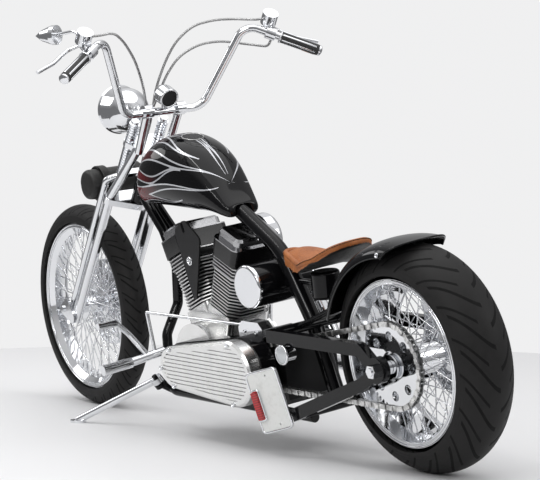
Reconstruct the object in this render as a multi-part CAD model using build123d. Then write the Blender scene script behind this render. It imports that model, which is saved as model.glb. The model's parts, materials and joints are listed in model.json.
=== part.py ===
from build123d import *
import os
from math import acos, asin, atan2, cos, degrees, pi, radians, sin

# Chopper motorcycle with a raked springer fork, an open V-twin and wire wheels, leaning on its side stand.
# Modelled upright and steered straight, in millimetres: X forward from the rear axle, Y left, Z up from the
# floor. At the end the fork turns to its rest angle and the whole machine leans over onto the stand.

# Fits
SEAT_GAP = 0.3
RUNNING_GAP = 0.05
SWEEP_GAP = 6.0

# Stance
WHEELBASE = 1804.0
RAKE = 36.0
LEAN = 8.4
REST_STEER = -5.0

# Tyres and rims: radius at the crown, half width (which is also the crown's own radius), rim flange
REAR_TYRE_R = 332.0
REAR_TYRE_HALF = 98.0
REAR_RIM_R = 242.5
REAR_RIM_HALF = 85.0
FRONT_TYRE_R = 341.0
FRONT_TYRE_HALF = 48.0
FRONT_RIM_R = 280.7
FRONT_RIM_HALF = 36.0
RIM_WALL = 7.0
RIM_WELL = 24.0
RIM_LIP_CLEAR = 5.0
SHOULDER = 44.0
SPOKES_PER_SET = 20
SPOKE_WIDTH = 4.6
SPOKE_STAGGER = 3.6
HUB_BOSS = 0.8
REAR_AXLE_R = 12.5
FRONT_AXLE_R = 11.0

# Final drive
CHAIN_Y = 113.0
CHAIN_PITCH = 15.875
CHAIN_HEIGHT = 15.0
CHAIN_WIDTH = 20.0
CHAIN_PLATE = 3.0
SPROCKET_WIDTH = 7.0
REAR_TEETH = 48
GEARBOX_TEETH = 24

# Frame tubes
BACKBONE_R = 25.0
CRADLE_R = 16.0
RAIL_Y = 105.0
RAIL_Z = 135.0
ARM_IN_Y = 152.0
ARM_WIDTH = 26.0
ARM_HEIGHT = 38.0
NECK_R = 28.0

# Steering head: the fork's own axes are N forward of the stem, Y left, U up the stem from the lower tree
AXLE_N = 96.0
AXLE_U = -525.0
STEM_R = 15.0
TREE_THICK = 22.0
TOP_TREE_U = 207.0
TOP_TREE_THICK = 18.0
LEG_N = 37.0
LEG_Y = 90.0
LEG_R = 15.0
LEG_END_U = -530.0
LEG_TOP_N = 25.0
LEG_TOP_Y = 43.0
FRONT_LEG_N = 83.0
FRONT_LEG_R = 11.0
FRONT_LEG_END_U = -505.0
SPRING_N = 63.0
SPRING_Y = 52.0
SPRING_R = 18.0
SPRING_ROD_R = 6.0
YOKE_U = 78.0
YOKE_THICK = 14.0
ROD_TOP_U = 292.0
BAR_R = 12.7
BAR_BEND = 52.0
BAR_N = 4.0
BAR_U = 374.0
RISER_Y = 58.0
GRIP_R = 17.5

# Engine
CRANK_X = 976.0
CRANK_Z = 256.0
V_HALF = 22.5
CYLINDER_BASE = 166.0
FIN_PITCH = 11.0
FIN_THICK = 4.0
FIN_COUNT = 12
FIN_WIDTH = 150.0
BARREL_R = 55.0
HEAD_BASE = CYLINDER_BASE + FIN_COUNT * FIN_PITCH + SEAT_GAP
HEAD_HEIGHT = 44.0
ROCKER_TOP = 432.0
CLUTCH_X = 648.0
CLUTCH_Z = 267.0
PRIMARY_FRONT_R = 66.0
PRIMARY_REAR_R = 101.0
PRIMARY_IN_Y = 135.0
PRIMARY_SPLIT_Y = 186.0
PRIMARY_OUT_Y = 232.0
RIB_COUNT = 13
RIB_HEIGHT = 4.0

lean = radians(LEAN)
rake = radians(RAKE)
steer = radians(REST_STEER)

# Axle heights that set both leaning tyres on the floor
front_axis_drop = cos(steer) * sin(lean) + sin(rake) * sin(steer) * cos(lean)
FRONT_LEAN = degrees(asin(front_axis_drop))
REAR_AXLE_Z = REAR_TYRE_R - REAR_TYRE_HALF + REAR_TYRE_HALF / cos(lean)
front_centre = (FRONT_TYRE_R - FRONT_TYRE_HALF) * cos(radians(FRONT_LEAN)) + FRONT_TYRE_HALF
steer_side = AXLE_N * sin(steer)
steer_drop = AXLE_N * (1 - cos(steer)) * sin(rake)
FRONT_AXLE_Z = (front_centre + steer_side * sin(lean)) / cos(lean) + steer_drop
STEM_X = WHEELBASE + sin(rake) * AXLE_U - cos(rake) * AXLE_N
STEM_Z = FRONT_AXLE_Z - cos(rake) * AXLE_U - sin(rake) * AXLE_N

FORK = Location((STEM_X, 0, STEM_Z), (0, -RAKE, 0))
FRONT_WHEEL = Location((WHEELBASE, 0, FRONT_AXLE_Z))
REAR_WHEEL = Location((0, 0, REAR_AXLE_Z))
SIDES = (1, -1)
SEAM_TURN = 37.0


def rod(start, end, radius):
    """A round bar between two points."""
    start, end = Vector(*start), Vector(*end)
    return extrude(Plane(origin=start, z_dir=end - start) * Circle(radius), (end - start).length)


def bent_tube(points, radius, bend):
    """A round bar along straight runs joined by equal bends."""
    path = FilletPolyline(*points, radius=bend)
    return sweep(Plane(origin=path @ 0, z_dir=path % 0) * Circle(radius), path=path)


def across(x, z, y0, y1, radius):
    """A round bar along Y."""
    return Pos(x, (y0 + y1) / 2, z) * Rot(90, 0, 0) * Cylinder(radius, y1 - y0)


def block(x0, x1, y0, y1, z0, z1):
    """A box given by its limits."""
    return Pos((x0 + x1) / 2, (y0 + y1) / 2, (z0 + z1) / 2) * Box(x1 - x0, y1 - y0, z1 - z0)


def side_plate(sketch, y0, y1):
    """A sketch drawn in X and Z, extruded from y0 to y1."""
    return extrude(Plane((0, y0, 0), x_dir=(1, 0, 0), z_dir=(0, -1, 0)) * sketch, -(y1 - y0))


def hull_of(circles):
    """The outline stretched round circles given as (x, z, radius)."""
    discs = [Pos(x, z) * Rot(0, 0, SEAM_TURN) * Circle(radius) for x, z, radius in circles]
    return make_hull([edge for disc in discs for edge in disc.edges()])


def ring(points, arc=360.0):
    """A profile of (radius, y) points turned about the Y axis."""
    return revolve(make_face(Polyline(*points, close=True)), axis=Axis.Y, revolution_arc=arc)


def along(start, end, distance):
    """The point that lies a distance from start towards end."""
    start, end = Vector(*start), Vector(*end)
    return start + (end - start).normalized() * distance


# Wheels, each modelled about its own axle

def tyre(crown_r, half, rim_r, rim_half, contact):
    """Round-shouldered tyre whose crown has a corner on the line it stands on."""
    bead_y = rim_half - RIM_WALL - SEAT_GAP
    inner_r = rim_r - RIM_WALL - SEAT_GAP
    centre_r = crown_r - half
    over_rim = degrees(acos((rim_r + RIM_LIP_CLEAR - centre_r) / half))
    angles = (over_rim, SHOULDER, contact)
    left = [(centre_r + half * cos(radians(a)), half * sin(radians(a))) for a in angles]
    right = [(r, -y) for r, y in reversed(left)]
    lip = rim_r + SEAT_GAP
    return ring([(inner_r, bead_y), (lip, bead_y)] + left + right + [(lip, -bead_y), (inner_r, -bead_y)])


def rim(rim_r, rim_half):
    """Dropped-centre rim with rolled flanges."""
    edge_y = rim_half - RIM_WALL
    well_y = 0.55 * rim_half
    well_r = rim_r - RIM_WELL
    left = [(rim_r, edge_y), (rim_r, rim_half), (rim_r - 2 * RIM_WALL, rim_half), (well_r - RIM_WALL, well_y)]
    seat = [(well_r, well_y), (rim_r - 2 * RIM_WALL + 2, edge_y)]
    right = [(r, -y) for r, y in reversed(left)]
    return ring(left + right + [(r, -y) for r, y in reversed(seat)] + seat)


def spokes(hub_r, hub_y, rim_r, rim_y, cross):
    """Four sets of laced spokes: left and right, leaning ahead and astern."""
    solids = []
    for side in SIDES:
        for lead in SIDES:
            for k in range(SPOKES_PER_SET):
                hub_turn = 2 * pi * (k + 0.25 * side) / SPOKES_PER_SET
                rim_turn = hub_turn + lead * radians(cross)
                offset = lead * SPOKE_STAGGER
                inner = Vector(hub_r * cos(hub_turn), side * (hub_y + offset), hub_r * sin(hub_turn))
                outer = Vector(rim_r * cos(rim_turn), side * (rim_y + offset), rim_r * sin(rim_turn))
                plane = Plane(origin=inner, z_dir=outer - inner)
                solids.append(extrude(plane * Rectangle(SPOKE_WIDTH, SPOKE_WIDTH), (outer - inner).length))
    return solids


def hub(axle_r, body_r, flange_r, flange_y, half, flange_thick):
    """Turned hub: barrel, two spoke flanges and end bosses, bored for the axle."""
    bore = axle_r + RUNNING_GAP
    boss_r = HUB_BOSS * body_r
    flange_end = flange_y + flange_thick
    left = [(boss_r, half), (boss_r, flange_end), (flange_r, flange_end)]
    left += [(flange_r, flange_y), (body_r, flange_y - flange_thick)]
    right = [(r, -y) for r, y in reversed(left)]
    return ring([(bore, half)] + left + right + [(bore, -half)])


def brake_disc(y, thick, inner_r, outer_r, carrier_r):
    """Brake disc with a row of round holes, on a carrier that reaches in to the hub."""
    disc = Rot(90, 0, 0) * (Cylinder(outer_r, thick) - Cylinder(carrier_r, thick))
    holes = 8
    hole_r = (outer_r - inner_r) * 0.22
    for k in range(holes):
        turn = 2 * pi * k / holes
        middle = (outer_r + inner_r) / 2
        disc -= across(middle * cos(turn), middle * sin(turn), -thick, thick, hole_r)
    return Pos(0, y, 0) * disc


def sprocket(teeth, bore, holes, hole_r, hole_ring):
    """Toothed plate for the chain with lightening holes."""
    pitch_r = CHAIN_PITCH / (2 * sin(pi / teeth))
    root_r = pitch_r - CHAIN_HEIGHT * 0.36
    tip_r = pitch_r + CHAIN_HEIGHT * 0.2
    outline = []
    for k in range(teeth):
        for radius, share in ((root_r, -0.30), (root_r, 0.05), (tip_r, 0.25), (tip_r, 0.45)):
            turn = 2 * pi * (k + share) / teeth
            outline.append((radius * cos(turn), radius * sin(turn)))
    plate = make_face(Polyline(*outline, close=True)) - Circle(bore)
    for k in range(holes):
        turn = 2 * pi * k / holes
        plate -= Pos(hole_ring * cos(turn), hole_ring * sin(turn)) * Circle(hole_r)
    return Rot(90, 0, 0) * extrude(plate, SPROCKET_WIDTH / 2, both=True)


def rear_wheel():
    """Rear tyre, rim, laced hub with its brake disc, and the final-drive sprocket."""
    flange_y = 58.0
    flange_r = 62.0
    half = 128.0
    disc_bore = 44.0
    body = hub(REAR_AXLE_R, 46.0, flange_r, flange_y, half, 8.0)
    body += Pos(0, CHAIN_Y - SPROCKET_WIDTH / 2 - 6, 0) * Rot(90, 0, 0) * Cylinder(70, 12)
    body -= across(0, 0, -half, half, REAR_AXLE_R + RUNNING_GAP)
    body += brake_disc(-CHAIN_Y, 5.0, 96.0, 140.0, 36.0)
    well = REAR_RIM_R - RIM_WELL - RIM_WALL - SEAT_GAP
    laced = spokes(flange_r + 2.6, flange_y + 4, well - 1.4, 12.0, 34.0)
    return {
        "rear_tyre": tyre(REAR_TYRE_R, REAR_TYRE_HALF, REAR_RIM_R, REAR_RIM_HALF, LEAN),
        "rear_rim": rim(REAR_RIM_R, REAR_RIM_HALF),
        "rear_hub": body,
        "rear_spokes": Compound(children=laced),
        "rear_sprocket": Pos(0, CHAIN_Y, 0) * sprocket(REAR_TEETH, disc_bore, 8, 15.0, 86.0),
    }


def front_wheel():
    """Front tyre, rim and laced hub with its brake disc on the right."""
    flange_y = 34.0
    flange_r = 44.0
    half = 70.0
    body = hub(FRONT_AXLE_R, 30.0, flange_r, flange_y, half, 6.0)
    body += brake_disc(-60.0, 5.0, 100.0, 146.0, 22.0)
    well = FRONT_RIM_R - RIM_WELL - RIM_WALL - SEAT_GAP
    laced = spokes(flange_r + 2, flange_y + 3, well - 0.8, 9.0, 32.0)
    return {
        "front_tyre": tyre(FRONT_TYRE_R, FRONT_TYRE_HALF, FRONT_RIM_R, FRONT_RIM_HALF, FRONT_LEAN),
        "front_rim": rim(FRONT_RIM_R, FRONT_RIM_HALF),
        "front_hub": body,
        "front_spokes": Compound(children=laced),
    }


# Frame

BACKBONE_PATH = ((1336, 0, 828), (905, 0, 758), (640, 0, 600), (520, 0, 400), (432, 0, 152))
BACKBONE_BEND = 190.0
UPPER_CROSS = (505.0, 390.0)
LOWER_CROSS = (420.0, 155.0)
CROSS_R = 16.0
UPPER_ARM_Z = 386.0


def backbone(radius):
    """The spine: under the tank, down behind the engine and on to the lower cross tube."""
    return bent_tube(BACKBONE_PATH, radius, BACKBONE_BEND)


def neck_point(u, n=0.0, y=0.0):
    """A point in the fork's own axes, seen upright."""
    return (STEM_X - sin(rake) * u + cos(rake) * n, y, STEM_Z + cos(rake) * u + sin(rake) * n)


def downtube(side, radius):
    """One front downtube that runs on as a lower rail."""
    run = [(1372, side * 13, 745), (1262, side * 17, 632), (1207, side * 20, 520), (1210, side * 30, 400)]
    run += [(1214, side * 84, 310), (1196, side * RAIL_Y, RAIL_Z), (LOWER_CROSS[0], side * RAIL_Y, RAIL_Z)]
    return bent_tube(run, radius, 45.0)


def main_frame():
    """Backbone, steering neck, twin downtubes that run on as lower rails, and the cross tubes."""
    body = backbone(BACKBONE_R)
    neck_low = TREE_THICK / 2 + SWEEP_GAP
    neck_high = TOP_TREE_U - TOP_TREE_THICK / 2 - SWEEP_GAP
    body += rod(neck_point(neck_low), neck_point(neck_high), NECK_R)
    for side in SIDES:
        body += downtube(side, CRADLE_R)
        strut_y = side * FENDER_STRUT_Y
        (x0, z0), (x1, z1) = UPPER_CROSS, FENDER_STRUT_END
        body += rod((x0, strut_y, z0), (x1, strut_y, z1), 9)
    for x, z in (UPPER_CROSS, LOWER_CROSS):
        body += across(x, z, -ARM_IN_Y + SEAT_GAP, ARM_IN_Y - SEAT_GAP, CROSS_R)
    body += rod((590, 0, OIL_TANK[1]), (OIL_TANK[0] - OIL_TANK_R - SEAT_GAP, 0, OIL_TANK[1]), 14)
    body += rod((570, 0, CANISTER[1]), (CANISTER[0] + CANISTER_R + SEAT_GAP, 0, CANISTER[1]), 9)
    body -= rod(neck_point(neck_low - 1), neck_point(neck_high + 1), STEM_R + RUNNING_GAP)
    body -= fender_envelope()
    return body


def rear_triangle():
    """Two arms of flat tube, bent to meet at the rear axle plates."""
    path = FilletPolyline(
        (UPPER_CROSS[0] + 12, UPPER_ARM_Z), (72, UPPER_ARM_Z), (-2, REAR_AXLE_Z - 6), (78, 284),
        (LOWER_CROSS[0] + 12, LOWER_CROSS[1]), radius=24,
    )
    outline = trace(path, ARM_HEIGHT) + Pos(0, REAR_AXLE_Z) * Circle(38)
    outline -= Pos(0, REAR_AXLE_Z) * Circle(REAR_AXLE_R + SEAT_GAP / 2)
    left = side_plate(outline, ARM_IN_Y, ARM_IN_Y + ARM_WIDTH)
    return [left, mirror(left, about=Plane.XZ)]


def rear_axle():
    """Axle with a hex nut outside each arm and a spacer inside it."""
    end = ARM_IN_Y + ARM_WIDTH + 22
    body = across(0, REAR_AXLE_Z, -end, end, REAR_AXLE_R)
    for side in SIDES:
        inner, outer = sorted((side * (ARM_IN_Y + ARM_WIDTH + SEAT_GAP), side * (end - 4)))
        nut = Pos(0, REAR_AXLE_Z) * RegularPolygon(20, 6)
        body += side_plate(nut, inner, outer)
        inner, outer = sorted((side * 129.0, side * (ARM_IN_Y - SEAT_GAP)))
        body += across(0, REAR_AXLE_Z, inner, outer, 20)
    return body


# Bodywork

TANK_SECTIONS = (
    # x, underside z, top z, half width
    (1302, 746, 792, 45),
    (1262, 728, 836, 95),
    (1200, 722, 915, 115),
    (1105, 718, 946, 120),
    (990, 713, 918, 108),
    (890, 705, 832, 82),
    (812, 698, 738, 56),
)


TANK_ROUND = 0.44
TANK_FLOOR = 560.0


def fuel_tank():
    """Teardrop tank that straddles the backbone."""
    sections = []
    for x, low, high, half in TANK_SECTIONS:
        radius = TANK_ROUND * min(2 * half, high - low)
        plane = Plane((x, 0, (low + high) / 2), x_dir=(0, 1, 0), z_dir=(1, 0, 0))
        sections.append(plane * RectangleRounded(2 * half, high - low, radius))
    half = BACKBONE_R + SEAT_GAP
    (x0, _, z0), (x1, _, z1), (x2, _, z2) = BACKBONE_PATH[:3]
    rise = half / cos(atan2(z0 - z1, x0 - x1))
    drop = half / cos(atan2(z1 - z2, x1 - x2))
    roof = ((x0, z0 + rise), (x1, z1 + max(rise, drop)), (x2, z2 + drop))
    tunnel = make_face(Polyline(*roof, (x2, TANK_FLOOR), (x0, TANK_FLOOR), close=True))
    return loft(sections) - side_plate(tunnel, -half, half)


SEAT_SECTIONS = (
    # x, half width, edge z, middle z, thickness
    (612, 54, 578, 614, 44),
    (540, 74, 566, 620, 40),
    (450, 106, 572, 612, 30),
    (376, 128, 600, 606, 26),
    (310, 128, 646, 632, 26),
    (246, 128, 690, 674, 26),
)


def seat():
    """Solo saddle: an arched nose on the backbone that widens to a dished, upturned back."""
    sections = []
    for x, half, edge, middle, thick in SEAT_SECTIONS:
        top = ThreePointArc((-half, edge), (0, middle), (half, edge))
        sole = ThreePointArc((half, edge - thick), (0, middle - thick), (-half, edge - thick))
        walls = Line((half, edge), (half, edge - thick)) + Line((-half, edge - thick), (-half, edge))
        plane = Plane((x, 0, 0), x_dir=(0, 1, 0), z_dir=(1, 0, 0))
        sections.append(plane * make_face(top + sole + walls))
    plan = hull_of(((560, 0, 46), (376, 0, 118)))
    pad = loft(sections) & extrude(Pos(0, 0, 480) * plan, 260)
    pad -= backbone(BACKBONE_R + SEAT_GAP)
    return max(pad.solids(), key=lambda solid: solid.volume)


FENDER_R = REAR_TYRE_R + 20
FENDER_HALF = 113.0
FENDER_SKIRT = 46.0
FENDER_WALL = 3.0
FENDER_DROP = 18.0
FENDER_FRONT = 19.0
FENDER_TAIL = 102.0
FENDER_STRUT_Y = 70.0
FENDER_STRUT_END = (316.0, 462.0)
FENDER_TAIL_CORNER = (22.0, 120.0)
FENDER_TAIL_MIDDLE = -62.0
FENDER_REACH = 400.0


def fender_envelope():
    """The room the mudguard takes, with its fitting gap."""
    shoulder = FENDER_R - FENDER_DROP + SEAT_GAP
    half = FENDER_HALF + SEAT_GAP
    low = shoulder - FENDER_SKIRT
    crown = ThreePointArc((shoulder, half), (FENDER_R + SEAT_GAP, 0), (shoulder, -half))
    sides = Polyline((shoulder, -half), (low, -half), (low, half), (shoulder, half))
    return REAR_WHEEL * revolve(make_face(crown + sides), axis=Axis.Y)


def rear_fender():
    """Short crowned mudguard hugging the rear tyre, its tail edge rounded in plan."""
    shoulder = FENDER_R - FENDER_DROP
    inner_edge = shoulder - FENDER_WALL
    inner_half = FENDER_HALF - FENDER_WALL
    low = shoulder - FENDER_SKIRT
    outer = ThreePointArc((shoulder, FENDER_HALF), (FENDER_R, 0), (shoulder, -FENDER_HALF))
    inner = ThreePointArc((inner_edge, -inner_half), (FENDER_R - FENDER_WALL, 0), (inner_edge, inner_half))
    skirt = ((shoulder, FENDER_HALF), (low, FENDER_HALF), (low, inner_half), (inner_edge, inner_half))
    right_wall = Polyline(*[(r, -y) for r, y in skirt])
    left_wall = Polyline(*reversed(skirt))
    profile = make_face(outer + right_wall + inner + left_wall)
    shell = revolve(profile, axis=Axis.Y, revolution_arc=FENDER_TAIL - FENDER_FRONT)
    shell = REAR_WHEEL * Rot(0, -FENDER_TAIL, 0) * shell
    x, y = FENDER_TAIL_CORNER
    tail = ThreePointArc((x, y), (FENDER_TAIL_MIDDLE, 0), (x, -y))
    tail += Polyline((x, -y), (FENDER_REACH, -y), (FENDER_REACH, y), (x, y))
    return shell & extrude(Pos(0, 0, REAR_AXLE_Z) * make_face(tail), FENDER_R + 10)


OIL_TANK = (694.0, 505.0)
OIL_TANK_R = 66.0
OIL_TANK_HALF = 96.0
CANISTER = (432.0, 514.0)
CANISTER_R = 44.0


def oil_tank():
    """Transverse drum ahead of the seat tube with domed end caps."""
    x, z = OIL_TANK
    body = across(x, z, -OIL_TANK_HALF, OIL_TANK_HALF, OIL_TANK_R)
    caps = []
    for side in SIDES:
        inner, outer = sorted((side * OIL_TANK_HALF, side * (OIL_TANK_HALF + 12)))
        cap = across(x, z, inner, outer, OIL_TANK_R + 2)
        caps.append(fillet(cap.faces().sort_by(Axis.Y)[-1 if side > 0 else 0].edges(), 8))
    return body, caps


# Engine and drive

def cylinder_frame(side):
    """Frame of one cylinder: Z along its bore from the crank, leaning forward or back."""
    return Location((CRANK_X, 0, CRANK_Z), (0, side * V_HALF, 0))


def fin_plate(width, depth, z, thick, corner):
    """One cooling fin with cut corners."""
    plate = Rectangle(width, depth)
    return Pos(0, 0, z) * extrude(chamfer(plate.vertices(), corner), thick)


def cylinders():
    """Two finned barrels, their fins trimmed where they meet between the banks."""
    barrels = []
    for side in SIDES:
        barrel = Pos(0, 0, CYLINDER_BASE) * extrude(Circle(BARREL_R), FIN_COUNT * FIN_PITCH)
        for k in range(FIN_COUNT):
            z = CYLINDER_BASE + 5 + k * FIN_PITCH
            barrel += fin_plate(FIN_WIDTH, FIN_WIDTH, z, FIN_THICK, 30)
        barrel = cylinder_frame(side) * barrel
        low, high = sorted((CRANK_X + side * 2, CRANK_X + side * 500))
        barrels.append(barrel & block(low, high, -200, 200, 0, 900))
    return barrels


def cylinder_heads():
    """Two heads, each with four fins, a rocker box and its cover."""
    heads = []
    for side in SIDES:
        head = Pos(0, 0, HEAD_BASE) * extrude(RectangleRounded(120, 130, 20), HEAD_HEIGHT)
        for k in range(4):
            head += fin_plate(156, 158, HEAD_BASE + 2 + k * FIN_PITCH, FIN_THICK, 26)
        box_base = HEAD_BASE + HEAD_HEIGHT
        box = Pos(0, -8, box_base) * extrude(RectangleRounded(128, 190, 24), ROCKER_TOP - box_base - 30)
        cover = Pos(0, -8, ROCKER_TOP - 30) * extrude(RectangleRounded(112, 166, 22), 30)
        cover = chamfer(cover.faces().sort_by(Axis.Z)[-1].edges(), 8)
        heads.append(cylinder_frame(side) * (head + box + cover))
    return heads


def crankcase():
    """Polished crankcase: round flywheel chamber, cylinder decks and a flat sump on the lower rails."""
    left, right = PRIMARY_IN_Y - SEAT_GAP, -105.0
    case = across(CRANK_X, CRANK_Z, right, left, 118)
    for side in SIDES:
        deck = Pos(0, 0, 60) * extrude(RectangleRounded(136, 150, 18), CYLINDER_BASE - 60 - SEAT_GAP)
        case += cylinder_frame(side) * deck
    floor = RAIL_Z + CRADLE_R + SEAT_GAP
    case += block(CRANK_X - 150, CRANK_X + 135, 1 - RAIL_Y, RAIL_Y - 1, floor, floor + 60)
    case &= block(CRANK_X - 300, CRANK_X + 300, -200, 200, floor, 600)
    return case


def cam_cover():
    """Right-side cam cover with four pushrod tubes rising to the heads."""
    cover = side_plate(hull_of(((CRANK_X, CRANK_Z + 4, 84), (CRANK_X + 78, CRANK_Z + 20, 52))), -138, -105.3)
    for side in SIDES:
        for offset in (12, 46):
            foot = (CRANK_X + side * offset, -122, CRANK_Z + 72)
            top = cylinder_frame(side) * Pos(-side * (42 - offset), -92, HEAD_BASE + HEAD_HEIGHT - 2)
            cover += rod(foot, tuple(top.position), 9)
    return cover


def primary_outline(grow):
    """Outline of the primary drive round the crank and the clutch."""
    return hull_of(((CRANK_X, CRANK_Z, PRIMARY_FRONT_R + grow), (CLUTCH_X, CLUTCH_Z, PRIMARY_REAR_R + grow)))


def primary_case():
    """Black inner case that carries the primary drive."""
    return side_plate(primary_outline(4), PRIMARY_IN_Y, PRIMARY_SPLIT_Y)


def primary_cover():
    """Bright outer cover with lengthwise ribs across a recessed face."""
    cover = side_plate(primary_outline(0), PRIMARY_SPLIT_Y, PRIMARY_OUT_Y)
    cover = chamfer(cover.faces().sort_by(Axis.Y)[-1].edges(), 7)
    recess = side_plate(primary_outline(-20), PRIMARY_OUT_Y - RIB_HEIGHT, PRIMARY_OUT_Y)
    ribs = None
    span = 2 * (PRIMARY_REAR_R - 20)
    for k in range(RIB_COUNT):
        z = CLUTCH_Z - span / 2 + span * (k + 0.5) / RIB_COUNT
        rib = block(CLUTCH_X - 100, CRANK_X + 80, PRIMARY_OUT_Y - RIB_HEIGHT, PRIMARY_OUT_Y, z - 3.2, z + 3.2)
        ribs = rib if ribs is None else ribs + rib
    return cover - (recess - ribs)


def transmission():
    """Gearbox behind the engine with the output sprocket on its left."""
    floor = RAIL_Z + CRADLE_R + SEAT_GAP
    case = block(560, 800, -100, 92, floor, 345)
    case = chamfer(case.edges().filter_by(Axis.Y), 16)
    shaft = across(CLUTCH_X, CLUTCH_Z, 92, PRIMARY_IN_Y - SEAT_GAP, 24)
    wheel = Pos(CLUTCH_X, CHAIN_Y, CLUTCH_Z) * sprocket(GEARBOX_TEETH, 20, 0, 1, 1)
    return case + shaft + wheel


def drive_chain():
    """Roller chain: closed blocks on the straight runs, paired side plates where it wraps the teeth."""
    rear_r = CHAIN_PITCH / (2 * sin(pi / REAR_TEETH))
    front_r = CHAIN_PITCH / (2 * sin(pi / GEARBOX_TEETH))
    rear = Vector(0, 0, REAR_AXLE_Z)
    front = Vector(CLUTCH_X, 0, CLUTCH_Z)
    span = front - rear
    slope = Vector(1, 0, 0).get_angle(span) * (-1 if span.Z < 0 else 1)
    flare = degrees(asin((rear_r - front_r) / span.length))
    links = []

    def place(x, z, turn, wrapped, index):
        width = CHAIN_WIDTH if index % 2 else CHAIN_WIDTH - 2 * CHAIN_PLATE
        frame_at = Location((x, CHAIN_Y, z), (0, -turn, 0))
        length = CHAIN_PITCH - SEAT_GAP
        if not wrapped:
            links.append(frame_at * Box(length, width, CHAIN_HEIGHT))
            return
        inner = SPROCKET_WIDTH / 2 + 0.5
        for side in SIDES:
            middle = side * (inner + width / 2) / 2
            links.append(frame_at * Pos(0, middle, 0) * Box(length, width / 2 - inner, CHAIN_HEIGHT))

    for top in SIDES:
        normal = slope + top * (90 - flare)
        start = rear + Vector(cos(radians(normal)), 0, sin(radians(normal))) * rear_r
        end = front + Vector(cos(radians(normal)), 0, sin(radians(normal))) * front_r
        run = (end - start).length
        count = int(run / CHAIN_PITCH)
        for k in range(count):
            at = start + (end - start) * ((k + 0.5) / count)
            place(at.X, at.Z, slope - top * flare, k < 5 or k > count - 6, k)
    wraps = ((rear, rear_r, slope + 90 - flare, slope + 270 + flare, REAR_TEETH),)
    wraps += ((front, front_r, slope - 90 + flare, slope + 90 - flare, GEARBOX_TEETH),)
    for centre, radius, first, last, teeth in wraps:
        count = int((last - first) / (360 / teeth))
        for k in range(count):
            turn = first + (last - first) * (k + 0.5) / count
            x = centre.X + radius * cos(radians(turn))
            z = centre.Z + radius * sin(radians(turn))
            place(x, z, turn + 90, True, k)
    return links


INTAKE_Z = 590.0
INTAKE_END_Y = -34.0


def air_cleaner():
    """Intake stubs between the heads and a round air cleaner on the right."""
    x, y, z = CRANK_X, -58.0, INTAKE_Z
    body = across(x, z, -150, INTAKE_END_Y, 24)
    for side in SIDES:
        middle = cylinder_frame(side) * Pos(-side * 125, y, HEAD_BASE + 12)
        face = cylinder_frame(side) * Pos(-side * (78 + SEAT_GAP), y, HEAD_BASE + 12)
        body += rod(tuple(middle.position), tuple(face.position), 18)
    cover = across(x, z, -196, -150, 78)
    cover = fillet(cover.faces().sort_by(Axis.Y)[0].edges(), 18)
    return body + cover


PIPE_R = 21.0
PIPE_Y = -205.0
PIPE_BEND = 34.0


def exhaust():
    """Two pipes swept down the right side."""
    port = cylinder_frame(1) * Pos(78 + SEAT_GAP, -58, HEAD_BASE + 22)
    stub = cylinder_frame(1) * Pos(112, -58, HEAD_BASE + 22)
    front = [tuple(port.position), tuple(stub.position)]
    front += [(1198, -190, 340), (1120, PIPE_Y, 216), (300, PIPE_Y, 196)]
    rear = [(806, -79 - SEAT_GAP, 529), (806, -140, 529)]
    rear += [(765, PIPE_Y, 400), (690, PIPE_Y, 256), (330, PIPE_Y, 250)]
    return [bent_tube(run, PIPE_R, PIPE_BEND) for run in (front, rear)]


def coil_cover():
    """Tapered plate over the coil between the cylinders."""
    outline = hull_of(((1014, 664, 26), (1044, 648, 24), (960, 628, 24), (1000, 452, 10)))
    outline -= Pos(1022, 668) * Rot(0, 0, 70) * SlotOverall(34, 13)
    plate = side_plate(outline, 92, 98)
    return plate + across(CRANK_X, INTAKE_Z, INTAKE_END_Y + SEAT_GAP, 92, 9)


def starter_cover():
    """Faceted bright cover over the starter drive."""
    body = block(598, 722, 93, PRIMARY_IN_Y - SEAT_GAP, 345 + SEAT_GAP, 408)
    return chamfer(body.edges().filter_by(Axis.Y), 20)


# Rear left: number plate, lamps

PLATE = Location((481, 217, 204)) * Rot(0, 0, 24) * Rot(90, 0, 0) * Rot(0, 0, -13)
PLATE_BOLT_X = -14.0
PLATE_BOLT_SPAN = 150.0
PLATE_BOLT_R = 3.2


def number_plate():
    """Blank plate in a bright surround, on a stalk from the end of the lower left arm."""
    surround = PLATE * extrude(RectangleRounded(108, 186, 10), 4)
    blank = RectangleRounded(100, 176, 6)
    for y in (PLATE_BOLT_SPAN / 2, -PLATE_BOLT_SPAN / 2):
        blank -= Pos(PLATE_BOLT_X, y) * Circle(PLATE_BOLT_R)
    plate = PLATE * Pos(0, 0, -4 - SEAT_GAP) * extrude(blank, 4)
    arm_end = Vector(LOWER_CROSS[0] + 12, 165, LOWER_CROSS[1])
    out = Vector(0.939, 0, -0.342)
    stalk = bent_tube((tuple(arm_end + out * SEAT_GAP), tuple(arm_end + out * 30), (480, 214, 150)), 8, 10)
    return [surround + stalk, plate]


def tail_lamp():
    """Red lamp strip on the plate's forward edge."""
    return PLATE * Pos(36, -6, -12.6) * Box(18, 84, 16)


def side_lamp():
    """Round lamp on a stem under the left arm."""
    x, z = 424.0, 341.0
    lamp = across(x, z, 156, 196, 22)
    return lamp + rod((x, 165, z + 18), (x, 165, UPPER_ARM_Z - ARM_HEIGHT / 2 - SEAT_GAP), 6)


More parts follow.
